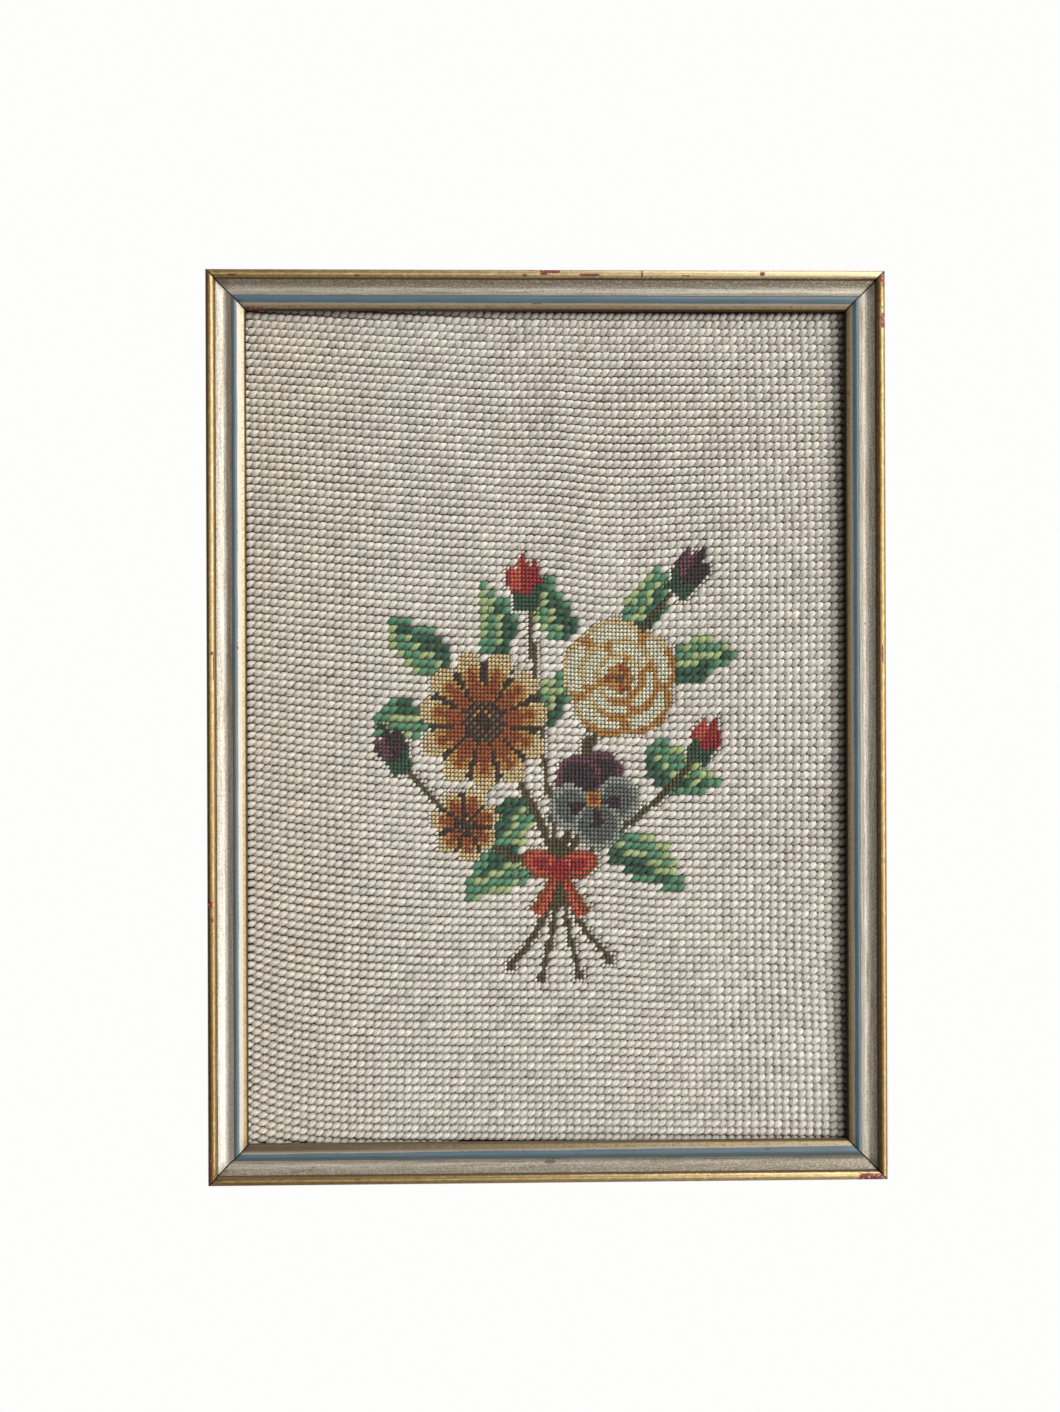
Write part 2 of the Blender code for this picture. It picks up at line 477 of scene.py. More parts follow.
def rail_places(rail, side):
    points = np.array([vertex.co for vertex in rail.data.vertices])
    across = points[:, 0]
    up = points[:, 2] - MIDDLE
    edge_and_run = {
        "top": (HALF_HEIGHT - up, across, HALF_WIDTH),
        "bottom": (HALF_HEIGHT + up, across, HALF_WIDTH),
        "left": (HALF_WIDTH + across, up, HALF_HEIGHT),
        "right": (HALF_WIDTH - across, up, HALF_HEIGHT),
    }
    inward, run, half_length = edge_and_run[side]
    from_mitre = (half_length - inward - np.abs(run)) / math.sqrt(2)
    keep_values(rail, "inward", inward / MM)
    keep_values(rail, "run", run / MM)
    keep_values(rail, "mitre", from_mitre / MM)
    print(side, "keeps", len(points), "places, inward from 0 to", round(inward.max() / MM, 1), "mm")


for side, rail in rails.items():
    rail_places(rail, side)

# %% [markdown]
# ## The moulding's finish
# The real moulding has a gilt bead, a silvered hollow under a warm wash, a band of dusty blue on
# the crest, a thin silver strip and a gilt lip. They were laid by hand, so their edges wander and
# fray a little. One chain of mixes goes from the outer edge inwards and changes the colour where
# each band begins. A second chain carries how metallic, how rough and how high the surface is,
# packed as the three parts of one colour. Wear comes last: chips down to the red clay under the
# gold, pits, specks of dirt and the dark line of the mitre.

# %% Name the colours and the wear
GOLD = from_screen(206, 178, 120)
GOLD_DEEP = from_screen(176, 142, 84)
GOLD_PALE = from_screen(230, 214, 174)
GOLD_RIM = from_screen(104, 76, 30)
GOLD_DULL = from_screen(138, 108, 56)
GROOVE_BROWN = from_screen(122, 100, 76)
SILVER = from_screen(210, 203, 191)
SILVER_WASHED = from_screen(188, 177, 158)
SILVER_GREY = from_screen(192, 188, 178)
SILVER_PATINA = from_screen(117, 104, 82)
SILVER_SOOT = from_screen(96, 88, 74)
SILVER_BRIGHT = from_screen(232, 227, 215)
BLUE = from_screen(89, 110, 123)
BLUE_GREEN = from_screen(80, 106, 114)
BLUE_DARK = from_screen(54, 66, 74)
LIP_GOLD = from_screen(208, 192, 148)
SIGHT_BROWN = from_screen(72, 48, 22)
SIGHT_PALER = from_screen(104, 88, 66)
CLAY_RED = from_screen(112, 34, 32)
CLAY_PALE = from_screen(142, 64, 54)
DIRT = from_screen(92, 80, 66)
GRIME = from_screen(84, 72, 54)
MITRE_DARK = from_screen(36, 26, 20)

BAND_STARTS = {
    # groove, hollow, blue, strip, lip, in mm from the outer edge
    "top": (2.72, 2.92, 7.80, 10.45, 11.10),
    "right": (2.70, 2.92, 8.32, 10.30, 11.15),
    "bottom": (2.72, 2.92, 7.40, 10.12, 10.85),
    "left": (2.72, 2.90, 8.08, 9.90, 11.05),
}
# how strongly the outer side of the hollow is browned, and how far in that reaches in mm
HOLLOW_BROWNED = {"top": (0.95, 5.1), "right": (0.90, 4.3), "bottom": (0.70, 4.6), "left": (0.42, 4.3)}
# how metallic the silver of the hollow still is, and how rough
HOLLOW_SHEEN = {"top": (0.42, 0.48), "right": (0.42, 0.54), "bottom": (0.48, 0.48), "left": (0.60, 0.40)}
# how strongly specks of the gold below show in the strip
STRIP_SPECKLED = {"top": 0.45, "right": 0.45, "bottom": 0.45, "left": 0.20}
# how far the strip drifts inwards for each mm along the rail, from 40 mm left of its middle
STRIP_DRIFT = {"top": 0.0, "right": 0.0, "bottom": 0.004, "left": 0.0}
STRIP_DRIFT_FROM = 40.0
# the silver of the left rail brightens towards its low end, a painted reflection of the window: the
# middle and length of the change
LOW_END_PAINTED_REFLECTION = (-70.0, 110.0)

# How far each band has turned towards another tone, as a share at the left or lower end of a rail
# and at its right or upper end. A rail that isn't named hasn't turned at all.
DULL_GILDING = {"top": (0.10, 0.0), "right": (0.45, 0.30), "bottom": (0.60, 0.0), "left": (0.60, 0.25)}
# the gilding is paler towards the window: a painted highlight
GILDING_PAINTED_HIGHLIGHT = {"top": (0.0, 0.65), "bottom": (0.0, 0.25), "left": (0.0, 0.12)}
BROWN_SILVER = {"bottom": (0.0, 0.60)}
# the inner slope of the left rail faces the window, so its blue, strip and lip are paler: painted
# highlights
BLUE_PAINTED_HIGHLIGHT = {"left": (0.112, 0.112)}
STRIP_PAINTED_HIGHLIGHT = {"left": (0.32, 0.32)}
LIP_PAINTED_HIGHLIGHT = {"left": (0.0, 0.512)}
DEEP_LIP = {"top": (0.40, 0.40), "right": (0.60, 0.60), "bottom": (0.20, 0.20), "left": (0.50, 0.0)}
INNER_GRIME = {"top": (0.32, 0.32), "bottom": (0.88, 0.28)}

CLAY_CHIPS = {
    # along from the middle, in from the edge, half length, half width, in mm
    "top": (
        (0.9, 0.9, 3.2, 0.75),
        (-0.8, 1.6, 1.2, 0.55),
        (-5.2, 0.2, 1.8, 0.30),
        (-7.1, 2.1, 0.8, 0.40),
        (13.4, 2.0, 3.2, 0.42),
        (30.2, 1.5, 0.35, 1.1),
        (68.5, 1.5, 0.8, 0.65),
        (-99.5, 2.2, 1.3, 0.30),
        (-93.0, 11.75, 3.6, 0.24),
        (-97.5, 10.0, 0.3, 0.30),
        (44.0, 2.2, 1.4, 0.18),
        (-60.0, 2.25, 1.0, 0.16),
    ),
    "right": (
        (142.1, 1.3, 1.1, 0.80),
        (141.6, 0.6, 2.2, 0.60),
        (128.8, 1.0, 2.3, 0.85),
        (22.8, 1.5, 2.9, 0.22),
        (-139.5, 0.5, 1.2, 0.35),
    ),
    "bottom": (
        (102.3, 1.25, 4.1, 1.15),
        (60.8, 0.6, 1.0, 0.22),
        (69.4, 10.0, 1.0, 0.20),
        (-61.0, 2.2, 1.2, 0.16),
    ),
    "left": (
        (23.4, 2.0, 0.55, 0.45),
        (18.8, 2.45, 3.8, 0.12),
        (25.1, 9.75, 0.50, 0.32),
        (-55.9, 0.9, 1.25, 1.0),
        (-60.8, 1.9, 0.7, 0.32),
        (-138.0, 0.75, 5.5, 0.62),
    ),
}
PITS = {
    # along from the middle, in from the edge, half length, half width, in mm
    "top": (
        (-3.4, 10.6, 1.6, 0.16),
        (-47.0, 7.4, 0.5, 0.14),
        (52.0, 4.0, 0.35, 0.14),
        (91.0, 6.0, 0.3, 0.2),
    ),
    "right": (
        (32.6, 6.2, 0.28, 0.26),
        (133.0, 1.3, 0.35, 0.2),
        (-118.0, 4.4, 0.3, 0.2),
        (-60.0, 5.4, 0.5, 0.1),
    ),
    "bottom": (
        (0.2, 6.0, 1.7, 0.60),
        (8.8, 9.2, 1.2, 0.16),
        (64.6, 11.75, 0.35, 0.25),
        (50.1, 2.2, 0.3, 0.22),
        (63.0, 1.2, 0.3, 0.26),
        (65.2, 1.4, 0.35, 0.22),
        (-75.0, 5.0, 0.4, 0.16),
    ),
    "left": (
        (-64.9, 1.85, 0.35, 0.24),
        (60.0, 6.3, 0.4, 0.2),
        (-20.0, 6.6, 0.5, 0.2),
        (101.0, 4.2, 0.5, 0.12),
    ),
}
print("chips:", sum(map(len, CLAY_CHIPS.values())), "pits:", sum(map(len, PITS.values())))

# %% [markdown]
# The bands and the wear share a few patterns, so these are drawn first, once for each rail. The
# edge of every band follows one wandering and fraying line, shifted inwards. Leaf is the blotchy
# tone of the gilding, streak runs along the rail as a brush does, and cloud is the slow change of
# tone that age brings. A number added to the place makes every rail come out differently.

# %% Draw the patterns of one rail
SEED_STEP = 31.0
EDGE_WANDER = 0.35
EDGE_FRAY = 0.45


def rail_patterns(tree, side):
    """The place on a rail, in mm, and the patterns that its bands and its wear are made from."""
    inward = stored(tree, "inward")
    run = stored(tree, "run")
    forward = scaled(tree, parted(tree, object_place(tree))[1], -1 / MM)
    number = list(rails).index(side) * SEED_STEP
    seeded = joined(tree, run, inward, calc(tree, "ADD", forward, number))

    def stretched(along, across, scale, detail, roughness=0.5):
        place = vector_calc(tree, "MULTIPLY", seeded, (along, across, 1.0))
        return noise(tree, place, scale, detail, roughness)

    wander = calc(tree, "SUBTRACT", stretched(0.05, 0.3, 1.0, 1.0), 0.5)
    fray = calc(tree, "SUBTRACT", noise(tree, seeded, 1.7, 3.0, 0.6), 0.5)
    edge = calc(tree, "MULTIPLY_ADD", wander, EDGE_WANDER, inward)
    grain = stretched(0.5, 1.0, 3.0, 2.0, 0.6)
    return SimpleNamespace(
        side=side,
        inward=inward,
        run=run,
        forward=forward,
        seeded=seeded,
        wander=wander,
        fray=fray,
        edge=calc(tree, "MULTIPLY_ADD", fray, EDGE_FRAY, edge),
        leaf=stretched(0.55, 1.0, 1.1, 4.0, 0.6),
        streak=stretched(0.07, 2.4, 1.0, 3.0, 0.6),
        cloud=stretched(0.06, 0.1, 1.0, 2.0),
        grain=grain,
        grit=step_at(tree, grain, 0.56, 0.10),
        sparkle=step_down_at(tree, grain, 0.43, 0.08),
        upper_half=step_at(tree, run, 0.0, 220.0),
    )


def end_to_end(tree, at, table):
    """How strong something is along this rail, from its left or lower end to the other one."""
    low_end, high_end = table.get(at.side, (0.0, 0.0))
    return calc(tree, "MULTIPLY_ADD", at.upper_half, high_end - low_end, low_end)


# %% [markdown]
# Each band is a base of two tones, and thin glazes go over it one by one, as a finisher would age
# a new frame: brown where fingers and dust dull it, and last a fine grit. The paler glazes on the
# parts that face the window are painted highlights.

# %% Mix the tones of the bands
STREAK_DEPTH = 0.45


def bead_gold(tree, at):
    gold = mix(tree, step_at(tree, at.leaf, 0.46, 0.30), GOLD_DEEP, GOLD)
    gold = glaze(tree, gold, GOLD_PALE, step_at(tree, at.leaf, 0.66, 0.16))
    gold = glaze(tree, gold, GOLD_RIM, step_down_at(tree, at.edge, 0.35, 0.9), 0.8)
    gold = glaze(tree, gold, GOLD_DULL, end_to_end(tree, at, DULL_GILDING))
    # a painted highlight towards the window
    gold = glaze(tree, gold, GOLD_PALE, end_to_end(tree, at, GILDING_PAINTED_HIGHLIGHT))
    return glaze(tree, gold, GOLD_RIM, at.grit, 0.30)


def hollow_silver(tree, at):
    browned, reach = HOLLOW_BROWNED[at.side]
    silver = mix(tree, step_at(tree, at.streak, 0.50, 0.30), SILVER_WASHED, SILVER)
    silver = glaze(tree, silver, SILVER_BRIGHT, step_at(tree, at.streak, 0.62, 0.10), STREAK_DEPTH)
    silver = glaze(tree, silver, SILVER_PATINA, step_down_at(tree, at.streak, 0.40, 0.10), STREAK_DEPTH)
    silver = glaze(tree, silver, SILVER_PATINA, step_down_at(tree, at.edge, reach, 3.2), browned)
    silver = glaze(tree, silver, SILVER_PATINA, end_to_end(tree, at, BROWN_SILVER))
    # a painted reflection of the window on the low end of the left rail
    if at.side == "left":
        silver = glaze(tree, silver, SILVER_BRIGHT, step_down_at(tree, at.run, *LOW_END_PAINTED_REFLECTION), 0.8)
    silver = glaze(tree, silver, SILVER_SOOT, at.grit, 0.32)
    return glaze(tree, silver, SILVER_BRIGHT, at.sparkle, 0.30)


def crest_blue(tree, at):
    blue = mix(tree, step_at(tree, at.cloud, 0.5, 0.3), BLUE, BLUE_GREEN)
    blue = glaze(tree, blue, BLUE_DARK, step_at(tree, at.streak, 0.62, 0.2), 0.4)
    # a painted highlight where the crest faces the window
    return glaze(tree, blue, SILVER_GREY, end_to_end(tree, at, BLUE_PAINTED_HIGHLIGHT))


def strip_silver(tree, at):
    strip = mix(tree, step_at(tree, at.streak, 0.5, 0.4), SILVER_WASHED, SILVER_GREY)
    strip = glaze(tree, strip, GOLD_DEEP, at.grit, STRIP_SPECKLED[at.side])
    # a painted highlight where the strip faces the window
    return glaze(tree, strip, SILVER_BRIGHT, end_to_end(tree, at, STRIP_PAINTED_HIGHLIGHT))


def lip_gold(tree, at):
    lip = mix(tree, step_at(tree, at.leaf, 0.44, 0.30), GOLD_DEEP, LIP_GOLD)
    # a painted highlight where the lip faces the window
    lip = glaze(tree, lip, GOLD_PALE, end_to_end(tree, at, LIP_PAINTED_HIGHLIGHT))
    lip = glaze(tree, lip, GOLD_DEEP, end_to_end(tree, at, DEEP_LIP))
    return glaze(tree, lip, GOLD_RIM, at.grit, 0.45)


# %% [markdown]
# The bands could be separate materials on strips of faces, but then their edges would follow the
# faces. Here one material changes its tone at a distance from the outer edge, so an edge may
# wander as the hand did.

# %% Lay the bands
WALL_TOP = 12.38
WALL_FROM = 11.5


def lay_bands(tree, at):
    """The colour of the face, and its metal, roughness and height packed as one colour."""
    groove_at, hollow_at, blue_at, strip_at, lip_at = BAND_STARTS[at.side]
    drift = scaled(tree, calc(tree, "ADD", at.run, STRIP_DRIFT_FROM), STRIP_DRIFT[at.side])
    strip_edge = calc(tree, "SUBTRACT", at.edge, drift)
    bands = (
        # edge, start, softness, colour, (metal, roughness, height)
        (at.edge, groove_at, 0.14, GROOVE_BROWN, (0.15, 0.62, 0.45)),
        (at.edge, hollow_at, 0.24, hollow_silver(tree, at), (*HOLLOW_SHEEN[at.side], 0.55)),
        (at.edge, blue_at, 0.24, crest_blue(tree, at), (0.0, 0.46, 0.62)),
        (strip_edge, strip_at, 0.24, strip_silver(tree, at), (0.28, 0.46, 0.55)),
        (at.edge, lip_at, 0.24, lip_gold(tree, at), (0.55, 0.48, 0.60)),
    )
    colour = bead_gold(tree, at)
    surface = (0.85, 0.31, 0.60)
    for edge, start, softness, band_colour, band_surface in bands:
        share = step_at(tree, edge, start, softness)
        colour = mix(tree, share, colour, band_colour)
        surface = mix(tree, share, surface, band_surface)
    grimy = step_at(tree, at.inward, strip_at + 0.2, 1.2)
    colour = glaze(tree, colour, GRIME, grimy, end_to_end(tree, at, INNER_GRIME))

    # the inner wall of the lip is brown, and paler along the bottom
    wall = step_down_at(tree, at.forward, WALL_TOP, 0.5)
    wall = calc(tree, "MULTIPLY", wall, step_at(tree, at.inward, WALL_FROM, 0.2))
    colour = mix(tree, wall, colour, SIGHT_PALER if at.side == "bottom" else SIGHT_BROWN)
    surface = mix(tree, wall, surface, (0.0, 0.66, 0.55))
    return colour, surface


# %% [markdown]
# Gilding wears where the frame is knocked and handled: it chips off the bead and shows the red
# clay that it was laid on. The large chips are placed one by one in the tables above, the bead is
# also rubbed thin beside the groove, and the specks come from a noise.

# %% Wear the finish
def spots(tree, place, table, fray):
    """1 inside any spot of a table, whose edges are frayed by a noise, and 0 outside them all."""
    nearest = None
    for along, inward, half_length, half_width in table:
        offset = vector_calc(tree, "SUBTRACT", place, (along, inward, 0.0))
        offset = vector_calc(tree, "DIVIDE", offset, (half_length, half_width, 1.0))
        square = vector_calc(tree, "MULTIPLY", offset, offset)
        far = vector_calc(tree, "DOT_PRODUCT", square, square)
        nearest = far if nearest is None else calc(tree, "MINIMUM", nearest, far)
    nearest = calc(tree, "ADD", nearest, fray)
    return step_down_at(tree, nearest, 1.0, 0.5)


def wear_down(tree, at, colour, surface):
    """The same face with its chips, pits, specks of dirt and the open line of the mitre."""
    place = joined(tree, at.run, at.inward, 0.0)
    rubbed = between(tree, at.inward, 1.9, 2.75, 0.3)
    rubbed = calc(tree, "MULTIPLY", rubbed, step_at(tree, at.cloud, 0.58, 0.1))
    rubbed = calc(tree, "MULTIPLY", rubbed, step_at(tree, at.fray, 0.05, 0.20))
    chips = spots(tree, place, CLAY_CHIPS[at.side], scaled(tree, at.fray, 2.4))
    chips = calc(tree, "MAXIMUM", chips, scaled(tree, rubbed, 0.5))
    clay = mix(tree, step_at(tree, at.leaf, 0.5, 0.3), CLAY_RED, CLAY_PALE)
    clay = glaze(tree, clay, GOLD_PALE, step_at(tree, noise(tree, at.seeded, 1.5, 3.0), 0.64, 0.06))
    pits = spots(tree, place, PITS[at.side], scaled(tree, at.fray, 3.0))
    specks = step_at(tree, noise(tree, at.seeded, 2.2, 1.0), 0.76, 0.05)
    from_mitre = calc(tree, "MULTIPLY_ADD", at.fray, 0.10, stored(tree, "mitre"))
    crack = calc(tree, "LESS_THAN", from_mitre, calc(tree, "MULTIPLY_ADD", at.wander, 0.24, 0.22))
    marks = (
        # where, tone, how strong the tone is, (metal, roughness, height)
        (chips, clay, 1.0, (0.05, 0.55, 0.30)),
        (pits, DIRT, 0.75, (0.0, 0.70, 0.20)),
        (specks, DIRT, 0.6, None),
        (crack, MITRE_DARK, 1.0, (0.0, 0.80, 0.10)),
    )
    for where, tone, strength, worn in marks:
        colour = glaze(tree, colour, tone, where, strength)
        if worn is not None:
            surface = mix(tree, where, surface, worn)
    return colour, surface


# %% Put the moulding's finish together
def painted_moulding(name, side):
    finish, tree, shader = new_finish(name)
    at = rail_patterns(tree, side)
    colour, surface = wear_down(tree, at, *lay_bands(tree, at))
    metal, roughness, height = parted(tree, surface)
    uneven_grain = calc(tree, "SUBTRACT", at.grain, 0.5)
    roughness = calc(tree, "MULTIPLY_ADD", uneven_grain, 0.18, roughness)
    for pattern, share in ((at.leaf, 0.10), (at.streak, 0.12), (at.grain, 0.30)):
        height = calc(tree, "MULTIPLY_ADD", pattern, share, height)
    shape = bumped(tree, height, 0.12 * MM)
    feed_all(tree, shader, {"Base Color": colour, "Metallic": metal, "Roughness": roughness})
    feed_all(tree, shader, {"Normal": shape, "Coat Normal": shape})
    feed_all(tree, shader, {"Coat Weight": 0.3, "Coat Roughness": 0.2})
    return finish


# %% [markdown]
# The outer side of the rails was brushed with a thin bronze wash, and the back and the rabbet were
# left as bare pine. Both have a grain that runs along the rail, made by stretching a noise.

# %% Mix the side wash and the bare wood
WASH = from_screen(150, 118, 72)
WASH_DARK = from_screen(98, 72, 44)
PINE = from_screen(196, 160, 112)
PINE_DARK = from_screen(150, 108, 66)
PINE_AGED = from_screen(128, 96, 64)


def along_the_grain(tree, stretch, across):
    forward = scaled(tree, parted(tree, object_place(tree))[1], -across / MM)
    run = scaled(tree, stored(tree, "run"), stretch)
    inward = scaled(tree, stored(tree, "inward"), across)
    return joined(tree, run, inward, forward)


def bronze_wash():
    finish, tree, shader = new_finish("bronze_wash")
    brushed = noise(tree, along_the_grain(tree, 0.10, 1.6), 1.0, 4.0, 0.6)
    colour = mix(tree, step_at(tree, brushed, 0.48, 0.35), WASH_DARK, WASH)
    roughness = calc(tree, "MULTIPLY_ADD", brushed, 0.25, 0.36)
    shape = bumped(tree, brushed, 0.05 * MM)
    feed_all(tree, shader, {"Base Color": colour, "Metallic": 0.45})
    feed_all(tree, shader, {"Roughness": roughness, "Normal": shape})
    return finish


def bare_pine():
    finish, tree, shader = new_finish("bare_pine")
    rings = noise(tree, along_the_grain(tree, 0.03, 0.9), 1.0, 3.0, 0.55)
    fibres = noise(tree, along_the_grain(tree, 0.25, 7.0), 1.0, 3.0, 0.6)
    colour = mix(tree, step_at(tree, rings, 0.52, 0.16), PINE, PINE_DARK)
    colour = glaze(tree, colour, PINE_AGED, step_at(tree, fibres, 0.5, 0.4), 0.4)
    roughness = calc(tree, "MULTIPLY_ADD", fibres, 0.2, 0.62)
    shape = bumped(tree, fibres, 0.06 * MM)
    feed_all(tree, shader, {"Base Color": colour, "Roughness": roughness, "Normal": shape})
    return finish


# %% Finish the rails
PAINTED, WASHED, BARE = range(3)
HAIR = 0.02 * MM
WASH_STOPS = RAIL_DEPTH - 1.6 * MM
MOST_CORNERS = 8


def kind_of_face(polygon, inward):
    """Which finish a face has. The cut end of a rail is one face with many corners."""
    forward = -polygon.center.y
    if inward < HAIR and forward < WASH_STOPS:
        return WASHED
    if forward < RABBET_DEPTH + HAIR or len(polygon.vertices) > MOST_CORNERS:
        return BARE
    return PAINTED


side_finish = bronze_wash()
wood_finish = bare_pine()
for side, rail in rails.items():
    rail.data.materials.clear()
    rail.data.materials.append(painted_moulding("gilt_and_blue_" + side, side))
    rail.data.materials.append(side_finish)
    rail.data.materials.append(wood_finish)
    inward = np.zeros(len(rail.data.vertices), np.float32)
    rail.data.attributes["inward"].data.foreach_get("value", inward)
    for polygon in rail.data.polygons:
        face_inward = inward[list(polygon.vertices)].mean() * MM
        polygon.material_index = kind_of_face(polygon, face_inward)
    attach(rail, "root")
    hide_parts("rail_" + side)
print("rails finished:", ", ".join(sorted(rails)))

# %% [markdown]
# ## The lie of the cloth
# The stitched canvas isn't flat. It swells a little in the middle, dips to the rabbet at its edges
# and has long soft puckers where the stitching pulled it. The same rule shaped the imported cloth.
# Its rows aren't level either: tent stitch pulls a canvas out of square, so in this piece the rows
# fall to the right, steeply in the left half and hardly at all in the right one.

# %% Shape the lie of the cloth
CROWN_HEIGHT = 0.8 * MM
FLAT_MARGIN = 14.0 * MM
PUCKERS = (
    # across, up, half length, half width, lean in degrees, height, in mm
    (7, 90, 46, 10, 11, 0.9),
    (-26, 75, 36, 12, 24, 0.5),
    (34, 112, 40, 14, -18, 0.5),
    (62, 50, 50, 12, 6, 0.6),
    (-58, -6, 60, 14, -8, 0.5),
    (40, -66, 30, 11, 30, 0.8),
    (-32, -74, 32, 12, -34, 0.7),
    (-72, -98, 24, 9, 52, 0.6),
    (12, -104, 52, 10, 84, 0.4),
)


def smooth_step(values):
    """0 below 0, 1 above 1, and a soft change between."""
    t = np.clip(values, 0.0, 1.0)
    return t * t * (3 - 2 * t)


def cloth_rise(across, up):
    """How far the cloth stands forward of its flat edge, for arrays of places in metres."""
    margin = np.minimum(SIGHT_HALF_WIDTH - np.abs(across), SIGHT_HALF_HEIGHT - np.abs(up))
    rise = np.full(np.shape(across), CROWN_HEIGHT)
    for centre_x, centre_z, half_length, half_width, lean, height in PUCKERS:
        angle = math.radians(lean)
        dx = across - centre_x * MM
        dz = up - centre_z * MM
        along = (-dx * math.sin(angle) + dz * math.cos(angle)) / (half_length * MM)
        aside = (dx * math.cos(angle) + dz * math.sin(angle)) / (half_width * MM)
        rise = rise + height * MM * np.exp(-(along**2) - aside**2)
    return smooth_step(margin / FLAT_MARGIN) * rise


# %% Place the squares of the chart
COLUMN_PITCH = 2.42
ROW_PITCH = 2.57
EDGE_STRETCH_FROM = 55.0
EDGE_STRETCH = 0.055
LEFT_FALL = 6.3
LEFT_FALL_FROM = -10.0
LEFT_FALL_REACH = 87.0
LOWER_TILT = 0.018
ROW_STEPS = (
    # across, half width, fall, up, reach, in mm
    (9, 10, 2.9, 58, 52),
    (38, 12, -1.4, 60, 32),
    (85, 16, -1.0, 68, 45),
    (26, 10, 1.25, -48, 60),
    (88, 12, 2.2, -75, 42),
)
COLUMN_LEANS = (
    # up where it starts, share of the height, in mm and mm per mm
    (62, -0.035),
    (-70, 0.030),
    (105, -0.140),
)


def cloth_place(column, row):
    """Where a place of the stitch chart lies in the picture, in metres from its middle."""
    across = np.asarray(column, float) * COLUMN_PITCH
    stretched = EDGE_STRETCH * np.maximum(np.abs(across) - EDGE_STRETCH_FROM, 0.0)
    across = across + np.sign(across) * stretched
    level = np.asarray(row, float) * ROW_PITCH

    # the rows curve up towards the left edge, later and more sharply the lower they are
    left = np.maximum(LEFT_FALL_FROM - across, 0.0) / LEFT_FALL_REACH
    bend = 1.15 + 0.9 * smooth_step((90 - level) / 130) + 3.8 * smooth_step((-40 - level) / 80)
    fall = -LEFT_FALL * (1 - 0.15 * smooth_step((level - 60) / 60)) * left**bend
    fall = fall + LOWER_TILT * across * smooth_step((20 - level) / 80)
    for centre, half_width, drop, middle, reach in ROW_STEPS:
        here = np.exp(-(((level - middle) / reach) ** 2))
        fall = fall + 0.5 * drop * (1 + np.tanh((across - centre) / half_width)) * here
    up = level - fall

    # the columns lean a little at the top, at the bottom and in the upper left corner
    upper, lower, corner = COLUMN_LEANS
    moved = upper[1] * np.maximum(level - upper[0], 0.0)
    moved = moved + lower[1] * np.maximum(lower[0] - level, 0.0) * np.tanh(across / 60)
    moved = moved + corner[1] * np.maximum(level - corner[0], 0.0) * smooth_step((10 - across) / 90)
    return (across + moved) * MM, up * MM


corner_across, corner_up = cloth_place([-39, 39], [51, -51])
print("chart corners in mm:", np.round(corner_across / MM, 1), np.round(corner_up / MM, 1))

# %% [markdown]
# ## The canvas
# Under the stitches lies a stiff cotton canvas. Little of it shows, only the dark ecru at the
# bottom of the furrows and the bare margin from behind. A grid primitive is bent to the lie of the
# cloth and given its thickness by Solidify, so it is one closed sheet.

# %% Make the canvas
CANVAS_FRONT = CLOTH_BACK + 1.10 * MM
CANVAS_THICKNESS = 1.00 * MM
CANVAS_COLUMNS = 88
CANVAS_ROWS = 120
CANVAS_SMOOTH_DEGREES = 40

select_nothing()
bpy.ops.mesh.primitive_grid_add(x_subdivisions=CANVAS_COLUMNS, y_subdivisions=CANVAS_ROWS, size=2.0)
canvas = bpy.context.active_object
canvas.name = "canvas"
canvas.data.name = "canvas"
points = np.array([vertex.co for vertex in canvas.data.vertices])
across = points[:, 0] * CLOTH_HALF_WIDTH
up = points[:, 1] * CLOTH_HALF_HEIGHT
forward = CANVAS_FRONT + cloth_rise(across, up)
shaped = np.stack([across, -forward, up + MIDDLE], axis=1)
canvas.data.vertices.foreach_set("co", shaped.astype(np.float32).ravel())
edit_all()
bpy.ops.mesh.normals_make_consistent(inside=False)
done_editing()
if sum(polygon.normal.y for polygon in canvas.data.polygons) > 0:
    canvas.data.flip_normals()
thickness = canvas.modifiers.new("thickness", "SOLIDIFY")
thickness.thickness = CANVAS_THICKNESS
thickness.offset = -1.0
bpy.ops.object.modifier_apply(modifier=thickness.name)
bpy.ops.object.shade_smooth_by_angle(angle=math.radians(CANVAS_SMOOTH_DEGREES))
canvas_points = np.array([vertex.co for vertex in canvas.data.vertices])
margin_across = SIGHT_HALF_WIDTH - np.abs(canvas_points[:, 0])
margin_up = SIGHT_HALF_HEIGHT - np.abs(canvas_points[:, 2] - MIDDLE)
keep_values(canvas, "margin", np.minimum(margin_across, margin_up) / MM)
print("canvas:", count(canvas), "triangles")


# %% [markdown]
# The weave is drawn by two sines, one for the threads each way. Where the canvas goes under the
# lip it's darkened by a painted shadow of the lip, by the distance that its points keep.

# %% Finish the canvas
THREAD_PITCH = 1.27
CANVAS_ECRU = from_screen(150, 134, 106)
CANVAS_SHADE = from_screen(84, 70, 52)
# the tone of the painted shadow beside the lip, on the canvas and on the wool
CANVAS_IN_PAINTED_SHADOW = from_screen(52, 42, 30)


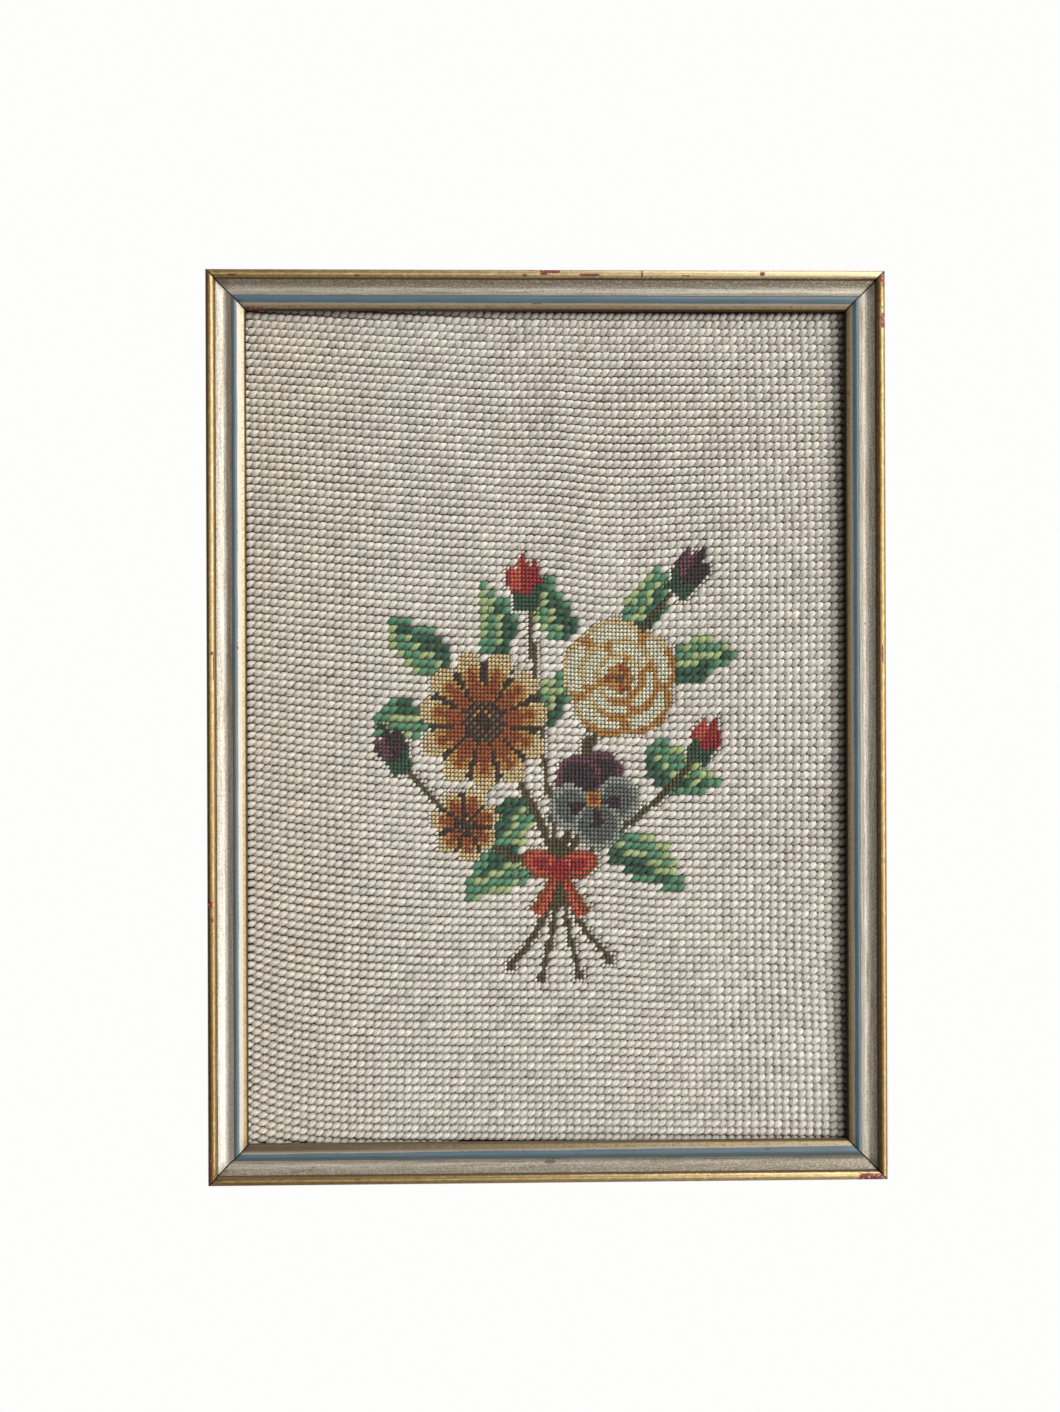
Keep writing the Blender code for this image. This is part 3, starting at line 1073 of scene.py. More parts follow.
def ecru_canvas():
    finish, tree, shader = new_finish("ecru_canvas")
    place = vector_calc(tree, "MULTIPLY", object_place(tree), (1 / MM, 1 / MM, 1 / MM))
    x, y, z = parted(tree, place)
    turn = 2 * math.pi / THREAD_PITCH
    warp = calc(tree, "SINE", scaled(tree, x, turn))
    weft = calc(tree, "SINE", scaled(tree, z, turn))
    weave = calc(tree, "MULTIPLY_ADD", calc(tree, "ADD", warp, weft), 0.25, 0.5)
    worn = noise(tree, place, 0.5, 4.0, 0.6)
    colour = mix(tree, weave, CANVAS_SHADE, CANVAS_ECRU)
    colour = glaze(tree, colour, CANVAS_SHADE, worn, 0.5)
    # a painted shadow of the lip over the margin that runs under it
    colour = glaze(tree, colour, CANVAS_IN_PAINTED_SHADOW, step_down_at(tree, stored(tree, "margin"), 1.5, 3.0))
    shape = bumped(tree, weave, 0.25 * MM)
    feed_all(tree, shader, {"Base Color": colour, "Roughness": 0.9, "Normal": shape})
    return finish


canvas.data.materials.clear()
canvas.data.materials.append(ecru_canvas())

# %% [markdown]
# ## One stitch
# A tent stitch is a short slanting yarn over one crossing of the canvas: it comes up at its lower
# left, swells and dives in again at its upper right. One sphere with few faces is enough, because
# nearly eleven thousand copies follow. Its rings are chosen by their place along the yarn: those of
# the shoulders swell, those of the ends stay blunt, and both sink, the ends the most. The half size
# stitch of the flowers gets its own, with fewer faces still. The upper side swells a little more
# than the side that lies on the canvas.

# %% Model one stitch
SHOULDER_RINGS = (0.3, 0.8)
END_RINGS = (0.8, 0.95)
SHOULDER_SWELL = 1.08
SHOULDER_SINK = 0.16
UPPER_FLANK = 0.2
UPPER_SWELL = 1.03


def model_stitch(name, segments, rings, end_dive, blunt):
    """A stitch along +X, one unit long, wide and high each way from its middle."""
    select_nothing()
    bpy.ops.mesh.primitive_uv_sphere_add(segments=segments, ring_count=rings, radius=1.0)
    stitch = bpy.context.active_object
    stitch.name = name
    edit_all()
    bpy.ops.transform.rotate(value=math.radians(90), orient_axis="Y", center_override=(0, 0, 0))
    done_editing()
    edit_where(stitch, lambda place: SHOULDER_RINGS[0] < abs(place.x) < SHOULDER_RINGS[1])
    bpy.ops.transform.resize(value=(1.0, SHOULDER_SWELL, SHOULDER_SWELL))
    bpy.ops.transform.translate(value=(0, 0, -SHOULDER_SINK * end_dive))
    done_editing()
    edit_where(stitch, lambda place: END_RINGS[0] < abs(place.x) < END_RINGS[1])
    bpy.ops.transform.resize(value=(1.0, blunt, blunt))
    done_editing()
    edit_where(stitch, lambda place: min(place.z, abs(place.y)) > UPPER_FLANK)
    bpy.ops.transform.resize(value=(1.0, UPPER_SWELL, UPPER_SWELL))
    done_editing()
    edit_where(stitch, lambda place: abs(place.x) > END_RINGS[0])
    bpy.ops.transform.translate(value=(0, 0, -end_dive))
    done_editing()
    shape = np.array([vertex.co for vertex in stitch.data.vertices])
    faces = [list(polygon.vertices) for polygon in stitch.data.polygons]
    print(name, len(faces), "faces", count(stitch), "triangles")
    bpy.data.objects.remove(stitch, do_unlink=True)
    return shape, faces


WHOLE_STITCH = model_stitch("whole_stitch", segments=8, rings=6, end_dive=0.46, blunt=1.26)
HALF_STITCH = model_stitch("half_stitch", segments=6, rings=4, end_dive=0.40, blunt=1.16)

# %% [markdown]
# ## The chart
# An embroiderer works from a chart of squares, one for each stitch. This one is a loose posy of
# garden flowers tied with a bow, in the colours of old wool: rust and ochre, cream, slate and
# plum, reds and three greens. Each motif is a rule that says which squares it covers, so it can be
# moved or resized. Leaves are worked in whole stitches. Flowers, buds, stems and bow are worked in
# stitches of half the size, four to a square, which the makers call petit point.

# %% Name the wools
WOOLS = {
    "ground": (228, 223, 213),
    "dark_green": (52, 92, 72),
    "mid_green": (92, 144, 112),
    "light_green": (166, 186, 132),
    "olive": (98, 86, 58),
    "dark_brown": (70, 54, 46),
    "mid_brown": (126, 96, 74),
    "rust": (168, 90, 48),
    "ochre": (200, 148, 80),
    "straw": (226, 204, 156),
    "cream": (242, 234, 208),
    "slate": (112, 118, 114),
    "mist": (164, 170, 162),
    "plum": (66, 48, 60),
    "mulberry": (118, 74, 90),
    "red": (176, 46, 52),
    "coral": (214, 98, 78),
}
WOOL_NUMBER = {name: number for number, name in enumerate(WOOLS)}


def lay(chart, where, wool):
    chart[where] = WOOL_NUMBER[wool]


def seen_from(a, b, centre, turn):
    """Places of the chart seen from a centre, with the first axis turned by so many degrees."""
    da = a - centre[0]
    db = b - centre[1]
    c = math.cos(math.radians(turn))
    s = math.sin(math.radians(turn))
    return da * c + db * s, db * c - da * s


# %% Chart a stem and a leaf
STEM_POINTS = 61


def lay_stem(chart, a, b, start, bend, end, half_width):
    nearest = np.full(a.shape, 99.0)
    for t in np.linspace(0.0, 1.0, STEM_POINTS):
        x = start[0] * (1 - t) ** 2 + 2 * bend[0] * t * (1 - t) + end[0] * t * t
        y = start[1] * (1 - t) ** 2 + 2 * bend[1] * t * (1 - t) + end[1] * t * t
        nearest = np.minimum(nearest, np.hypot(a - x, b - y))
    lay(chart, nearest < half_width, "olive")


def lay_leaf(chart, a, b, base, turn, length, half_width, bend):
    along, aside = seen_from(a, b, base, turn)
    t = np.clip(along / length, 0.0, 1.0)
    aside = aside - bend * np.sin(np.pi * t)
    teeth = 0.35 * ((t * length / 2.6) % 1.0 - 0.5)
    half = half_width * np.sin(np.pi * t**0.72) ** 0.75 + teeth
    inside = (along > 0) & (along < length) & (np.abs(aside) < half)
    light_side = aside > 0
    rim = np.abs(aside) > half - 1.0
    lay(chart, inside & light_side, "mid_green")
    lay(chart, inside & ~light_side, "dark_green")
    lay(chart, inside & light_side & rim & (t > 0.25), "light_green")
    lay(chart, inside & ~light_side & rim & (t > 0.45), "mid_green")
    lay(chart, inside & (np.abs(aside) < 0.5) & (t > 0.12) & (t < 0.75), "light_green")
    lay(chart, inside & (t > 0.88), "mid_green")


# %% Chart the flowers
def lay_daisy(chart, a, b, centre, radius, petals, turn):
    x, y = seen_from(a, b, centre, turn)
    out = np.hypot(x, y) / radius
    lobe = np.abs(np.cos(np.arctan2(y, x) * petals / 2))
    edge = 0.74 + 0.26 * lobe**0.6
    inside = out < edge
    share = out / edge
    lay(chart, inside, "ochre")
    lay(chart, inside & (share > 0.80), "straw")
    lay(chart, inside & (share < 0.60), "rust")
    lay(chart, inside & (share < 0.76) & (lobe > 0.9) & (share > 0.5), "rust")
    lay(chart, inside & (lobe < 0.30) & (share > 0.36), "dark_brown")
    lay(chart, out < 0.31, "dark_brown")
    specks = ((np.floor(a * 2) + np.floor(b * 2)) % 2 == 0) & (out > 0.12) & (out < 0.27)
    lay(chart, specks, "mid_brown")
    lay(chart, specks & (y > 0.02 * radius) & (out < 0.2), "ochre")


def lay_rose(chart, a, b, centre, radius, turn):
    """Rings of overlapping petals round a tight heart."""
    x, y = seen_from(a, b, centre, turn)
    out = np.hypot(x, y) / radius
    round_ = np.arctan2(y, x)
    rings = (
        # outer reach, inner reach, petals, offset in radians
        (1.00, 0.60, 5, 0.0),
        (0.70, 0.36, 4, 0.7),
        (0.44, 0.14, 3, 1.9),
    )
    for reach, inner, petals, offset in rings:
        lobe = np.abs(np.cos((round_ - offset) * petals / 2))
        edge = reach * (0.86 + 0.14 * lobe**0.6)
        inside = out < edge
        lay(chart, inside, "cream")
        lay(chart, inside & (out > edge - 0.10), "straw")
        lay(chart, inside & (out > edge - 0.10) & (x * 0.3 - y > 0.15 * radius), "ochre")
        lay(chart, inside & (lobe < 0.25) & (out > inner), "ochre")
        lay(chart, inside & (out < inner + 0.07), "straw")
    lay(chart, out < 0.24, "ochre")
    lay(chart, (out < 0.24) & (np.cos(round_ * 3 - 9.0 * out) > 0.2), "rust")
    lay(chart, out < 0.07, "mid_brown")


def lay_pansy(chart, a, b, centre, radius, turn):
    x, y = seen_from(a, b, centre, turn)
    petals = (
        # angle in degrees, reach, size, wool, rim wool
        (62, 0.50, 0.50, "plum", "mulberry"),
        (118, 0.50, 0.50, "plum", "mulberry"),
        (188, 0.52, 0.46, "slate", "mist"),
        (-8, 0.52, 0.46, "slate", "mist"),
        (270, 0.50, 0.52, "slate", "mist"),
    )
    for angle, reach, size, wool, rim in petals:
        petal_x = radius * reach * math.cos(math.radians(angle))
        petal_y = radius * reach * math.sin(math.radians(angle))
        gap = np.hypot(x - petal_x, y - petal_y) / radius
        lay(chart, gap < size, rim)
        lay(chart, gap < size - 0.13, wool)
    out = np.hypot(x, y) / radius
    rays = np.cos(np.arctan2(y, x) * 5 + 0.5 * np.pi) > 0.25
    lay(chart, (out < 0.55) & rays & (y < 0.1 * radius), "plum")
    lay(chart, out < 0.20, "ochre")
    lay(chart, out < 0.09, "rust")


# %% Chart a bud and the bow
def lay_bud(chart, a, b, base, turn, length, half_width, deep, bright):
    along, aside = seen_from(a, b, base, turn)
    t = np.clip(along / length, 0.0, 1.0)
    half = half_width * np.sin(np.pi * (0.12 + 0.80 * t)) ** 0.7
    notch = 0.16 * length * np.cos(aside / half_width * 2.2 * np.pi)
    inside = (along > 0) & (along < 0.88 * length + notch) & (np.abs(aside) < half)
    lay(chart, inside, deep)
    lit = (aside > 0.15 * half_width) & (aside < 0.8 * half_width) & (t > 0.25)
    lay(chart, inside & lit, bright)
    cup = (along > -0.9) & (along < 0.9 + np.abs(aside) * 0.7) & (np.abs(aside) < half_width * 0.75)
    lay(chart, cup & ((along < 0.9) | (np.abs(aside) > half_width * 0.4)), "dark_green")


def lay_bow(chart, a, b, centre, size):
    for side in (-1, 1):
        along, aside = seen_from(a, b, centre, -90 + side * 30)
        tail = (along > 0) & (along < 1.25 * size) & (np.abs(aside) < 0.42 + 0.10 * along)
        lay(chart, tail, "rust")
        lay(chart, tail & (aside * side < 0.0), "coral")
        along, aside = seen_from(a, b, centre, 90 - side * 72)
        loop = ((along / size - 0.52) / 0.52) ** 2 + (aside / (0.36 * size)) ** 2
        lay(chart, loop < 1.0, "rust")
        lay(chart, loop < 0.62, "coral")
        lay(chart, loop < 0.22, "red")
    lay(chart, np.hypot(a - centre[0], b - centre[1]) < 0.26 * size, "red")


# %% Arrange the posy
POSY_MIDDLE = (1.0, -3.0)
TIE = (0.5, -15.0)
DAISY = (-9.5, 3.5)
ROSE = (8.5, 9.5)
PANSY = (5.0, -6.0)
SMALL_DAISY = (-12.0, -9.5)
STEMS = (
    # bend, end, half width, in squares
    ((-3.0, -6.0), DAISY, 0.50),
    ((3.5, 0.0), ROSE, 0.50),
    ((3.0, -11.0), PANSY, 0.42),
    ((-6.0, -14.0), SMALL_DAISY, 0.36),
    ((-2.5, 4.0), (-3.5, 19.0), 0.36),
    ((15.0, -6.0), (19.0, 0.5), 0.36),
    ((3.0, 8.0), (16.5, 21.5), 0.36),
    ((-10.0, -14.0), (-20.5, -2.0), 0.36),
)
STEM_ENDS = ((-6.0, -27.0), (-2.0, -28.5), (3.0, -28.0), (7.0, -26.0))
STEM_END_BEND = -21.0
STEM_END_HALF_WIDTH = 0.36
LEAVES = (
    # base, turn in degrees, length, half width, bend
    ((-14.0, 10.0), 142, 10.0, 2.9, 0.9),
    ((-8.0, 11.5), 98, 9.5, 2.6, -0.8),
    ((1.5, 14.0), 112, 9.0, 2.6, 0.7),
    ((10.0, 16.5), 62, 8.5, 2.6, -0.7),
    ((15.5, 10.5), 14, 9.0, 2.8, 0.8),
    ((12.0, 0.5), -24, 10.5, 3.0, -1.0),
    ((7.0, -11.5), -28, 11.0, 3.0, 1.0),
    ((-17.0, 3.0), 188, 7.5, 2.6, -0.7),
    ((-4.0, -6.0), 232, 8.5, 2.6, 0.7),
    ((-3.0, -14.0), 206, 10.5, 2.8, -0.9),
    ((-1.5, 3.0), 66, 7.5, 2.2, 0.5),
)
BUDS = (
    # base, turn in degrees, length, half width, deep wool, bright wool
    ((-3.7, 18.5), 97, 6.0, 2.3, "red", "coral"),
    ((16.5, 21.0), 55, 6.0, 2.2, "plum", "mulberry"),
    ((19.0, 0.0), 62, 5.0, 2.0, "red", "coral"),
    ((-20.5, -2.5), 118, 5.5, 2.1, "plum", "mulberry"),
)


def whole_chart(a, b):
    """The wools of the whole stitches at places of the chart."""
    chart = np.zeros(np.shape(a), int)
    for leaf in LEAVES:
        lay_leaf(chart, a, b, *leaf)
    return chart


def half_chart(a, b):
    """The wools of the half size stitches at places of the chart, and 0 where there are none."""
    chart = np.zeros(np.shape(a), int)
    for bend, end, half_width in STEMS:
        lay_stem(chart, a, b, TIE, bend, end, half_width)
    for end in STEM_ENDS:
        bend = (TIE[0] + 0.2 * end[0], STEM_END_BEND)
        lay_stem(chart, a, b, TIE, bend, end, STEM_END_HALF_WIDTH)
    for bud in BUDS:
        lay_bud(chart, a, b, *bud)
    lay_daisy(chart, a, b, SMALL_DAISY, radius=4.6, petals=7, turn=20)
    lay_pansy(chart, a, b, PANSY, radius=6.2, turn=10)
    lay_rose(chart, a, b, ROSE, radius=7.8, turn=25)
    lay_daisy(chart, a, b, DAISY, radius=8.8, petals=11, turn=8)
    lay_bow(chart, a, b, TIE, size=5.0)
    return chart


# %% [markdown]
# ## Work the stitches
# Now every square of the chart that shows in the opening gets its stitch, and a square that a
# flower touches gets four small ones. For each stitch we need its place, its wool, and a little
# unevenness of slant, length, fullness and tone, from a seeded random generator, so that it comes
# out the same each time. The chart is wider than the opening, and what lies outside is dropped.

# %% Choose the stitches
CHART_COLUMNS = 92
CHART_ROWS = 116
UNDER_LIP = 1.4 * MM
BESIDE = 1.5
QUARTERS = ((-0.25, -0.25), (0.25, -0.25), (-0.25, 0.25), (0.25, 0.25))
uneven = np.random.default_rng(1874)

columns, rows = np.meshgrid(
    np.arange(CHART_COLUMNS) - (CHART_COLUMNS - 1) / 2,
    np.arange(CHART_ROWS) - (CHART_ROWS - 1) / 2,
)
columns = columns.ravel()
rows = rows.ravel()


def margins_at(across, up):
    """How far places of the cloth lie inside each side of the opening."""
    return {
        "left": SIGHT_HALF_WIDTH + across,
        "right": SIGHT_HALF_WIDTH - across,
        "top": SIGHT_HALF_HEIGHT - up,
        "bottom": SIGHT_HALF_HEIGHT + up,
    }


def shows(column, row):
    margins = margins_at(*cloth_place(column, row))
    return np.min(list(margins.values()), axis=0) > -UNDER_LIP


columns, rows = (values[shows(columns, rows)] for values in (columns, rows))
a = columns - POSY_MIDDLE[0]
b = rows - POSY_MIDDLE[1]
small_wools = np.stack([half_chart(a + da, b + db) for da, db in QUARTERS])
split = (small_wools > 0).any(axis=0)
big_wools = whole_chart(a, b)
small_wools = np.where(small_wools > 0, small_wools, big_wools)

whole = {"column": columns[~split], "row": rows[~split], "wool": big_wools[~split]}
small = {
    "column": np.concatenate([columns[split] + da for da, db in QUARTERS]),
    "row": np.concatenate([rows[split] + db for da, db in QUARTERS]),
    "wool": np.concatenate([wools[split] for wools in small_wools]),
}
beside_figure = np.zeros(len(whole["column"]))
figure = np.stack([columns[split | (big_wools > 0)], rows[split | (big_wools > 0)]], axis=1)
for figure_column, figure_row in figure:
    aside = np.abs(whole["column"] - figure_column)
    above = np.abs(whole["row"] - figure_row)
    beside_figure[np.maximum(aside, above) < BESIDE] = 1.0
print(len(whole["column"]), "whole stitches and", len(small["column"]), "small ones")


# %% [markdown]
# A stitch is placed by three arrows: along the yarn, across it and out of the cloth. The first two
# come from where the chart's squares have gone, so the stitches follow the pulled rows, and the
# last from the slope of the cloth. The rails press the cloth back a little along their lip. Then
# all the copies of the stitch are worked out at once as arrays, and become one mesh for each wool.

# %% Work out where the stitches go
STITCH_MIDDLE = CLOTH_BACK + 1.56 * MM
WHOLE_SIZE = (1.37 * MM, 1.42 * MM, 1.28 * MM)
HALF_SIZE = (0.63 * MM, 0.58 * MM, 0.68 * MM)
EDGE_PRESS = {"left": 0.15 * MM, "right": 0.35 * MM, "top": 0.55 * MM, "bottom": 0.25 * MM}
EDGE_PRESS_REACH = 4.0 * MM
LENGTH_SPREAD = 0.03
THICKNESS_SPREAD = 0.04
PLACE_SPREAD = 0.03


def unit(vectors):
    return vectors / np.linalg.norm(vectors, axis=1, keepdims=True)


def cloth_points(column, row):
    across, up = cloth_place(column, row)
    forward = STITCH_MIDDLE + cloth_rise(across, up)
    margins = margins_at(across, up)
    pressed = []
    for side, margin in margins.items():
        pressed.append(EDGE_PRESS[side] * (1 - smooth_step(margin / EDGE_PRESS_REACH)))
    forward = forward - np.max(pressed, axis=0)
    return np.stack([across, -forward, up + MIDDLE], axis=1)


def stitch_arrows(stitches, size, slant, slant_spread, beside, fullness, breadth, lean_back):
    """The middle of each stitch, and its three arrows with its length, width and height.

    The slant and the lean are in degrees. The stitches beside a figure are more uneven.
    """
    number = len(stitches["column"])
    middle = cloth_points(stitches["column"], stitches["row"])
    right = cloth_points(stitches["column"] + 0.5, stitches["row"]) - middle
    above = cloth_points(stitches["column"], stitches["row"] + 0.5) - middle
    right = unit(right)
    out = unit(np.cross(right, above))
    above = np.cross(out, right)
    out = np.cross(right, above)
    angle = np.radians(slant + uneven.normal(0.0, slant_spread, number) * (1 + 1.2 * beside))
    along = above + right / np.tan(angle)[:, None]
    lean = np.radians(lean_back)
    aside = right * np.cos(lean)[:, None] - above * np.sin(lean)[:, None]
    lengths = size[0] * fullness * (1 + uneven.normal(0.0, LENGTH_SPREAD, number) * (1 + beside))
    widths = size[1] * breadth * (1 + uneven.normal(0.0, THICKNESS_SPREAD, number))
    heights = size[2] * (1 + uneven.normal(0.0, THICKNESS_SPREAD, number))
    shift = uneven.normal(0.0, PLACE_SPREAD * size[0], (number, 2))
    middle = middle + right * shift[:, :1] + above * shift[:, 1:]
    return middle, along * lengths[:, None], aside * widths[:, None], out * heights[:, None]


# %% [markdown]
# The stitches aren't alike all over the picture. At the top they're shorter, in the lower half
# they lie flatter, and towards the right they're longer and thinner and turn a little. The wool
# beside the lip is darkened by a painted shadow of the lip, most of all at the right, and each
# stitch keeps how deep it lies in that painted shadow.

# %% Vary the stitches over the cloth
SMALL_SLANT = 62.0
SMALL_LEAN = 8.0
# a painted shadow that the lip casts on the wool beside it
PAINTED_LIP_SHADOW = {
    # how dark, where it is darkest and how far it reaches, in mm from the lip
    "right": (0.88, -0.8, 8.6),
    "top": (0.72, 0.2, 2.0),
    "bottom": (0.24, 0.0, 2.6),
}

whole_across = cloth_place(whole["column"], whole["row"])[0] / MM
tight_rows = smooth_step((ROW_PITCH * whole["row"] - 40) / 50)
to_right = smooth_step((whole_across - 35) / 45)
low_down = smooth_step((8 - whole["row"]) / 24) * smooth_step((whole_across + 70) / 40) * (1 - to_right)
whole_arrows = stitch_arrows(
    whole,
    WHOLE_SIZE,
    slant=57 - 3 * low_down + 2 * to_right,
    slant_spread=3.0,
    beside=beside_figure,
    fullness=0.96 - 0.05 * tight_rows + 0.07 * to_right,
    breadth=0.99 - 0.07 * to_right,
    lean_back=2 + 6 * to_right,
)
small_arrows = stitch_arrows(
    small,
    HALF_SIZE,
    slant=SMALL_SLANT,
    slant_spread=6.0,
    beside=0.0,
    fullness=1.0,
    breadth=1.0,
    lean_back=np.full(len(small["row"]), SMALL_LEAN),
)
tops = -whole_arrows[0][:, 1] - whole_arrows[3][:, 1]
print("highest stitch in mm:", round(float(tops.max()) / MM, 2))


def painted_lip_shadow(across, up):
    """How deep a place lies in the painted shadow beside the lip, 0 where there is none."""
    margins = margins_at(across, up)
    shades = [np.zeros(np.shape(across))]
    for side, (darkness, start, reach) in PAINTED_LIP_SHADOW.items():
        shades.append(darkness * (1 - smooth_step((margins[side] / MM - start) / reach)))
    return np.max(shades, axis=0)


# %% [markdown]
# Joining the copies one by one with Blender's operators would take minutes. Here the points of all
# copies are worked out as one array and the mesh is made from it, which takes a second. Each point
# also keeps its place along and across the yarn, so the wool's finish can follow the yarn.

# %% Join the stitches of one wool
def work_stitches(name, pattern, arrows, chosen, size):
    """One mesh of all the chosen stitches, with the yarn's own places kept on its points."""
    shape, faces = pattern
    middle, along, aside, out = (arrow[chosen] for arrow in arrows)
    number = len(middle)
    points = middle[:, None, :] + shape[None, :, :1] * along[:, None, :]
    points = points + shape[None, :, 1:2] * aside[:, None, :] + shape[None, :, 2:] * out[:, None, :]
    corners = len(shape)
    all_faces = []
    for copy in range(number):
        start = copy * corners
        all_faces.extend([[start + corner for corner in face] for face in faces])
    mesh = bpy.data.meshes.new(name)
    mesh.from_pydata(points.reshape(-1, 3).tolist(), [], all_faces)
    mesh.shade_smooth()
    piece = bpy.data.objects.new(name, mesh)
    scene.collection.objects.link(piece)
    seeds = np.repeat(uneven.uniform(0.0, 60.0, number), corners)
    tones = np.repeat(uneven.normal(0.0, 1.0, number), corners)
    yarn_along, yarn_aside = (np.tile(shape[:, axis] * size[axis] / MM, number) for axis in (0, 1))
    yarn = np.stack([yarn_along, yarn_aside, seeds], axis=1)
    kept = mesh.attributes.new("yarn", "FLOAT_VECTOR", "POINT")
    kept.data.foreach_set("vector", yarn.astype(np.float32).ravel())
    keep_values(piece, "tone", tones)
    # how deep each point lies in the painted shadow of the lip
    keep_values(piece, "shade", painted_lip_shadow(points[:, :, 0].ravel(), points[:, :, 2].ravel() - MIDDLE))
    print(name, number, "stitches", count(piece), "triangles")
    return piece


# %% [markdown]
# ## The wool
# Tapestry wool is soft and matt, with two or three plies that wind round each other and a haze of
# loose fibres. On a stitch this small the plies show as fine ridges along it. Each stitch has its
# own tone, because wool takes the dye unevenly, the ground has yellowed towards the left, and
# beside the lip the ground carries a painted shadow.

# %% Mix the wools
PLY_ACROSS = 7.4
PLY_ALONG = 2.3
DARK_SHARE = 0.58
LIGHT_SHARE = 1.24
YELLOWED = (0.90, 0.84, 0.74)


def wool_finish(name, colour, aged=0.0):
    finish, tree, shader = new_finish(name)
    along, aside, seed = parted(tree, stored(tree, "yarn", "Vector"))
    tone = stored(tree, "tone")
    winding = calc(tree, "MULTIPLY_ADD", along, PLY_ALONG, seed)
    winding = calc(tree, "MULTIPLY_ADD", aside, PLY_ACROSS, winding)
    ply = calc(tree, "MULTIPLY_ADD", calc(tree, "SINE", winding), 0.5, 0.5)
    fine = joined(tree, scaled(tree, along, 1.4), scaled(tree, aside, 8.0), seed)
    fibre = noise(tree, fine, 1.6, 3.0, 0.65)
    soft = noise(tree, joined(tree, along, aside, seed), 0.9, 1.0)

    dark = tuple(DARK_SHARE * value for value in colour)
    light = tuple(min(1.0, LIGHT_SHARE * value + 0.012) for value in colour)
    shade = calc(tree, "MULTIPLY_ADD", tone, 0.09, calc(tree, "MULTIPLY_ADD", soft, 0.3, 0.41))
    shade = calc(tree, "MULTIPLY_ADD", fibre, 0.7, calc(tree, "SUBTRACT", shade, 0.35))
    shade = calc(tree, "MULTIPLY_ADD", ply, 0.10, calc(tree, "SUBTRACT", shade, 0.02))
    wool = mix(tree, shade, dark, light)
    if aged:
        across = parted(tree, object_place(tree))[0]
        warm = tuple(value * share for value, share in zip(colour, YELLOWED))
        wool = glaze(tree, wool, warm, step_down_at(tree, across, -62 * MM, 70 * MM), aged)
        # a painted shadow of the lip, as deep as each stitch keeps it
        wool = glaze(tree, wool, CANVAS_IN_PAINTED_SHADOW, stored(tree, "shade"))
    height = calc(tree, "MULTIPLY_ADD", fibre, 0.9, scaled(tree, ply, 0.55))
    shape = bumped(tree, height, 0.10 * MM)
    feed_all(tree, shader, {"Base Color": wool, "Roughness": 0.82, "Normal": shape})
    feed_all(tree, shader, {"Specular IOR Level": 0.25, "Sheen Weight": 0.25, "Sheen Roughness": 0.5})
    return finish


# %% [markdown]
# Now each wool is worked in turn, first its whole stitches and then its small ones. The ground has
# so many that it's split in three bands of rows, which keeps every piece light enough to handle.

# %% Work every wool
GROUND_BANDS = 3
GROUND_YELLOWED = 0.30
STITCH_KINDS = (
    # name, stitches, pattern, arrows, size
    ("stitches_", whole, WHOLE_STITCH, whole_arrows, WHOLE_SIZE),
    ("small_stitches_", small, HALF_STITCH, small_arrows, HALF_SIZE),
)


def in_bands(name, chosen):
    """The chosen whole stitches in bands of rows, by the name of each band."""
    edges = np.quantile(whole["row"][chosen], np.linspace(0, 1, GROUND_BANDS + 1))
    edges[-1] += 1
    bands = {}
    for band in range(GROUND_BANDS):
        here = chosen & (whole["row"] >= edges[band]) & (whole["row"] < edges[band + 1])
        bands[name + "_" + str(band + 1)] = here
    return bands


for wool, number in WOOL_NUMBER.items():
    aged = GROUND_YELLOWED if wool == "ground" else 0.0
    finish = wool_finish("wool_" + wool, from_screen(*WOOLS[wool]), aged)
    for kind, stitches, pattern, arrows, size in STITCH_KINDS:
        chosen = stitches["wool"] == number
        name = kind + wool
        parts = in_bands(name, chosen) if name == "stitches_ground" else {name: chosen}
        for part_name, part in parts.items():
            if not part.any():
                continue
            piece = work_stitches(part_name, pattern, arrows, part, size)
            piece.data.materials.append(finish)
            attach(piece, "root")

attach(canvas, "root")
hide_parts("needlepoint")

# %% [markdown]
# ## The backing board
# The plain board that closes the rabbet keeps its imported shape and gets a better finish: grey
# brown millboard, pressed from pulp, with darker flecks and a faint nap.

# %% Finish the board
BOARD_BROWN = from_screen(142, 118, 88)
BOARD_FLECK = from_screen(96, 76, 54)


def millboard():
    finish, tree, shader = new_finish("millboard")
    place = vector_calc(tree, "MULTIPLY", object_place(tree), (1 / MM, 1 / MM, 1 / MM))
    cloud = noise(tree, place, 0.05, 4.0, 0.6)
    fleck = noise(tree, place, 1.1, 4.0, 0.7)
    colour = mix(tree, step_at(tree, fleck, 0.60, 0.12), BOARD_BROWN, BOARD_FLECK)
    colour = glaze(tree, colour, BOARD_FLECK, step_at(tree, cloud, 0.5, 0.3), 0.35)
    shape = bumped(tree, fleck, 0.06 * MM)
    feed_all(tree, shader, {"Base Color": colour, "Roughness": 0.86, "Normal": shape})
    return finish


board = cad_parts["backing_board"]
board_finish = millboard()
for material_slot in board.material_slots:
    material_slot.material = board_finish
print("board slots:", len(board.material_slots))

# %% [markdown]
# ## The studio
# The picture hangs in a white tent: a big sphere whose lower part is pressed flat for the floor.
# The camera sees it as a plain pale ground from every side, and it throws no light of its own on
# the picture and takes none away.

# %% Pitch the tent
TENT_RADIUS = 4.0
FLOOR_LEVEL = -0.85
TENT_WHITE = (0.985, 0.985, 0.98)

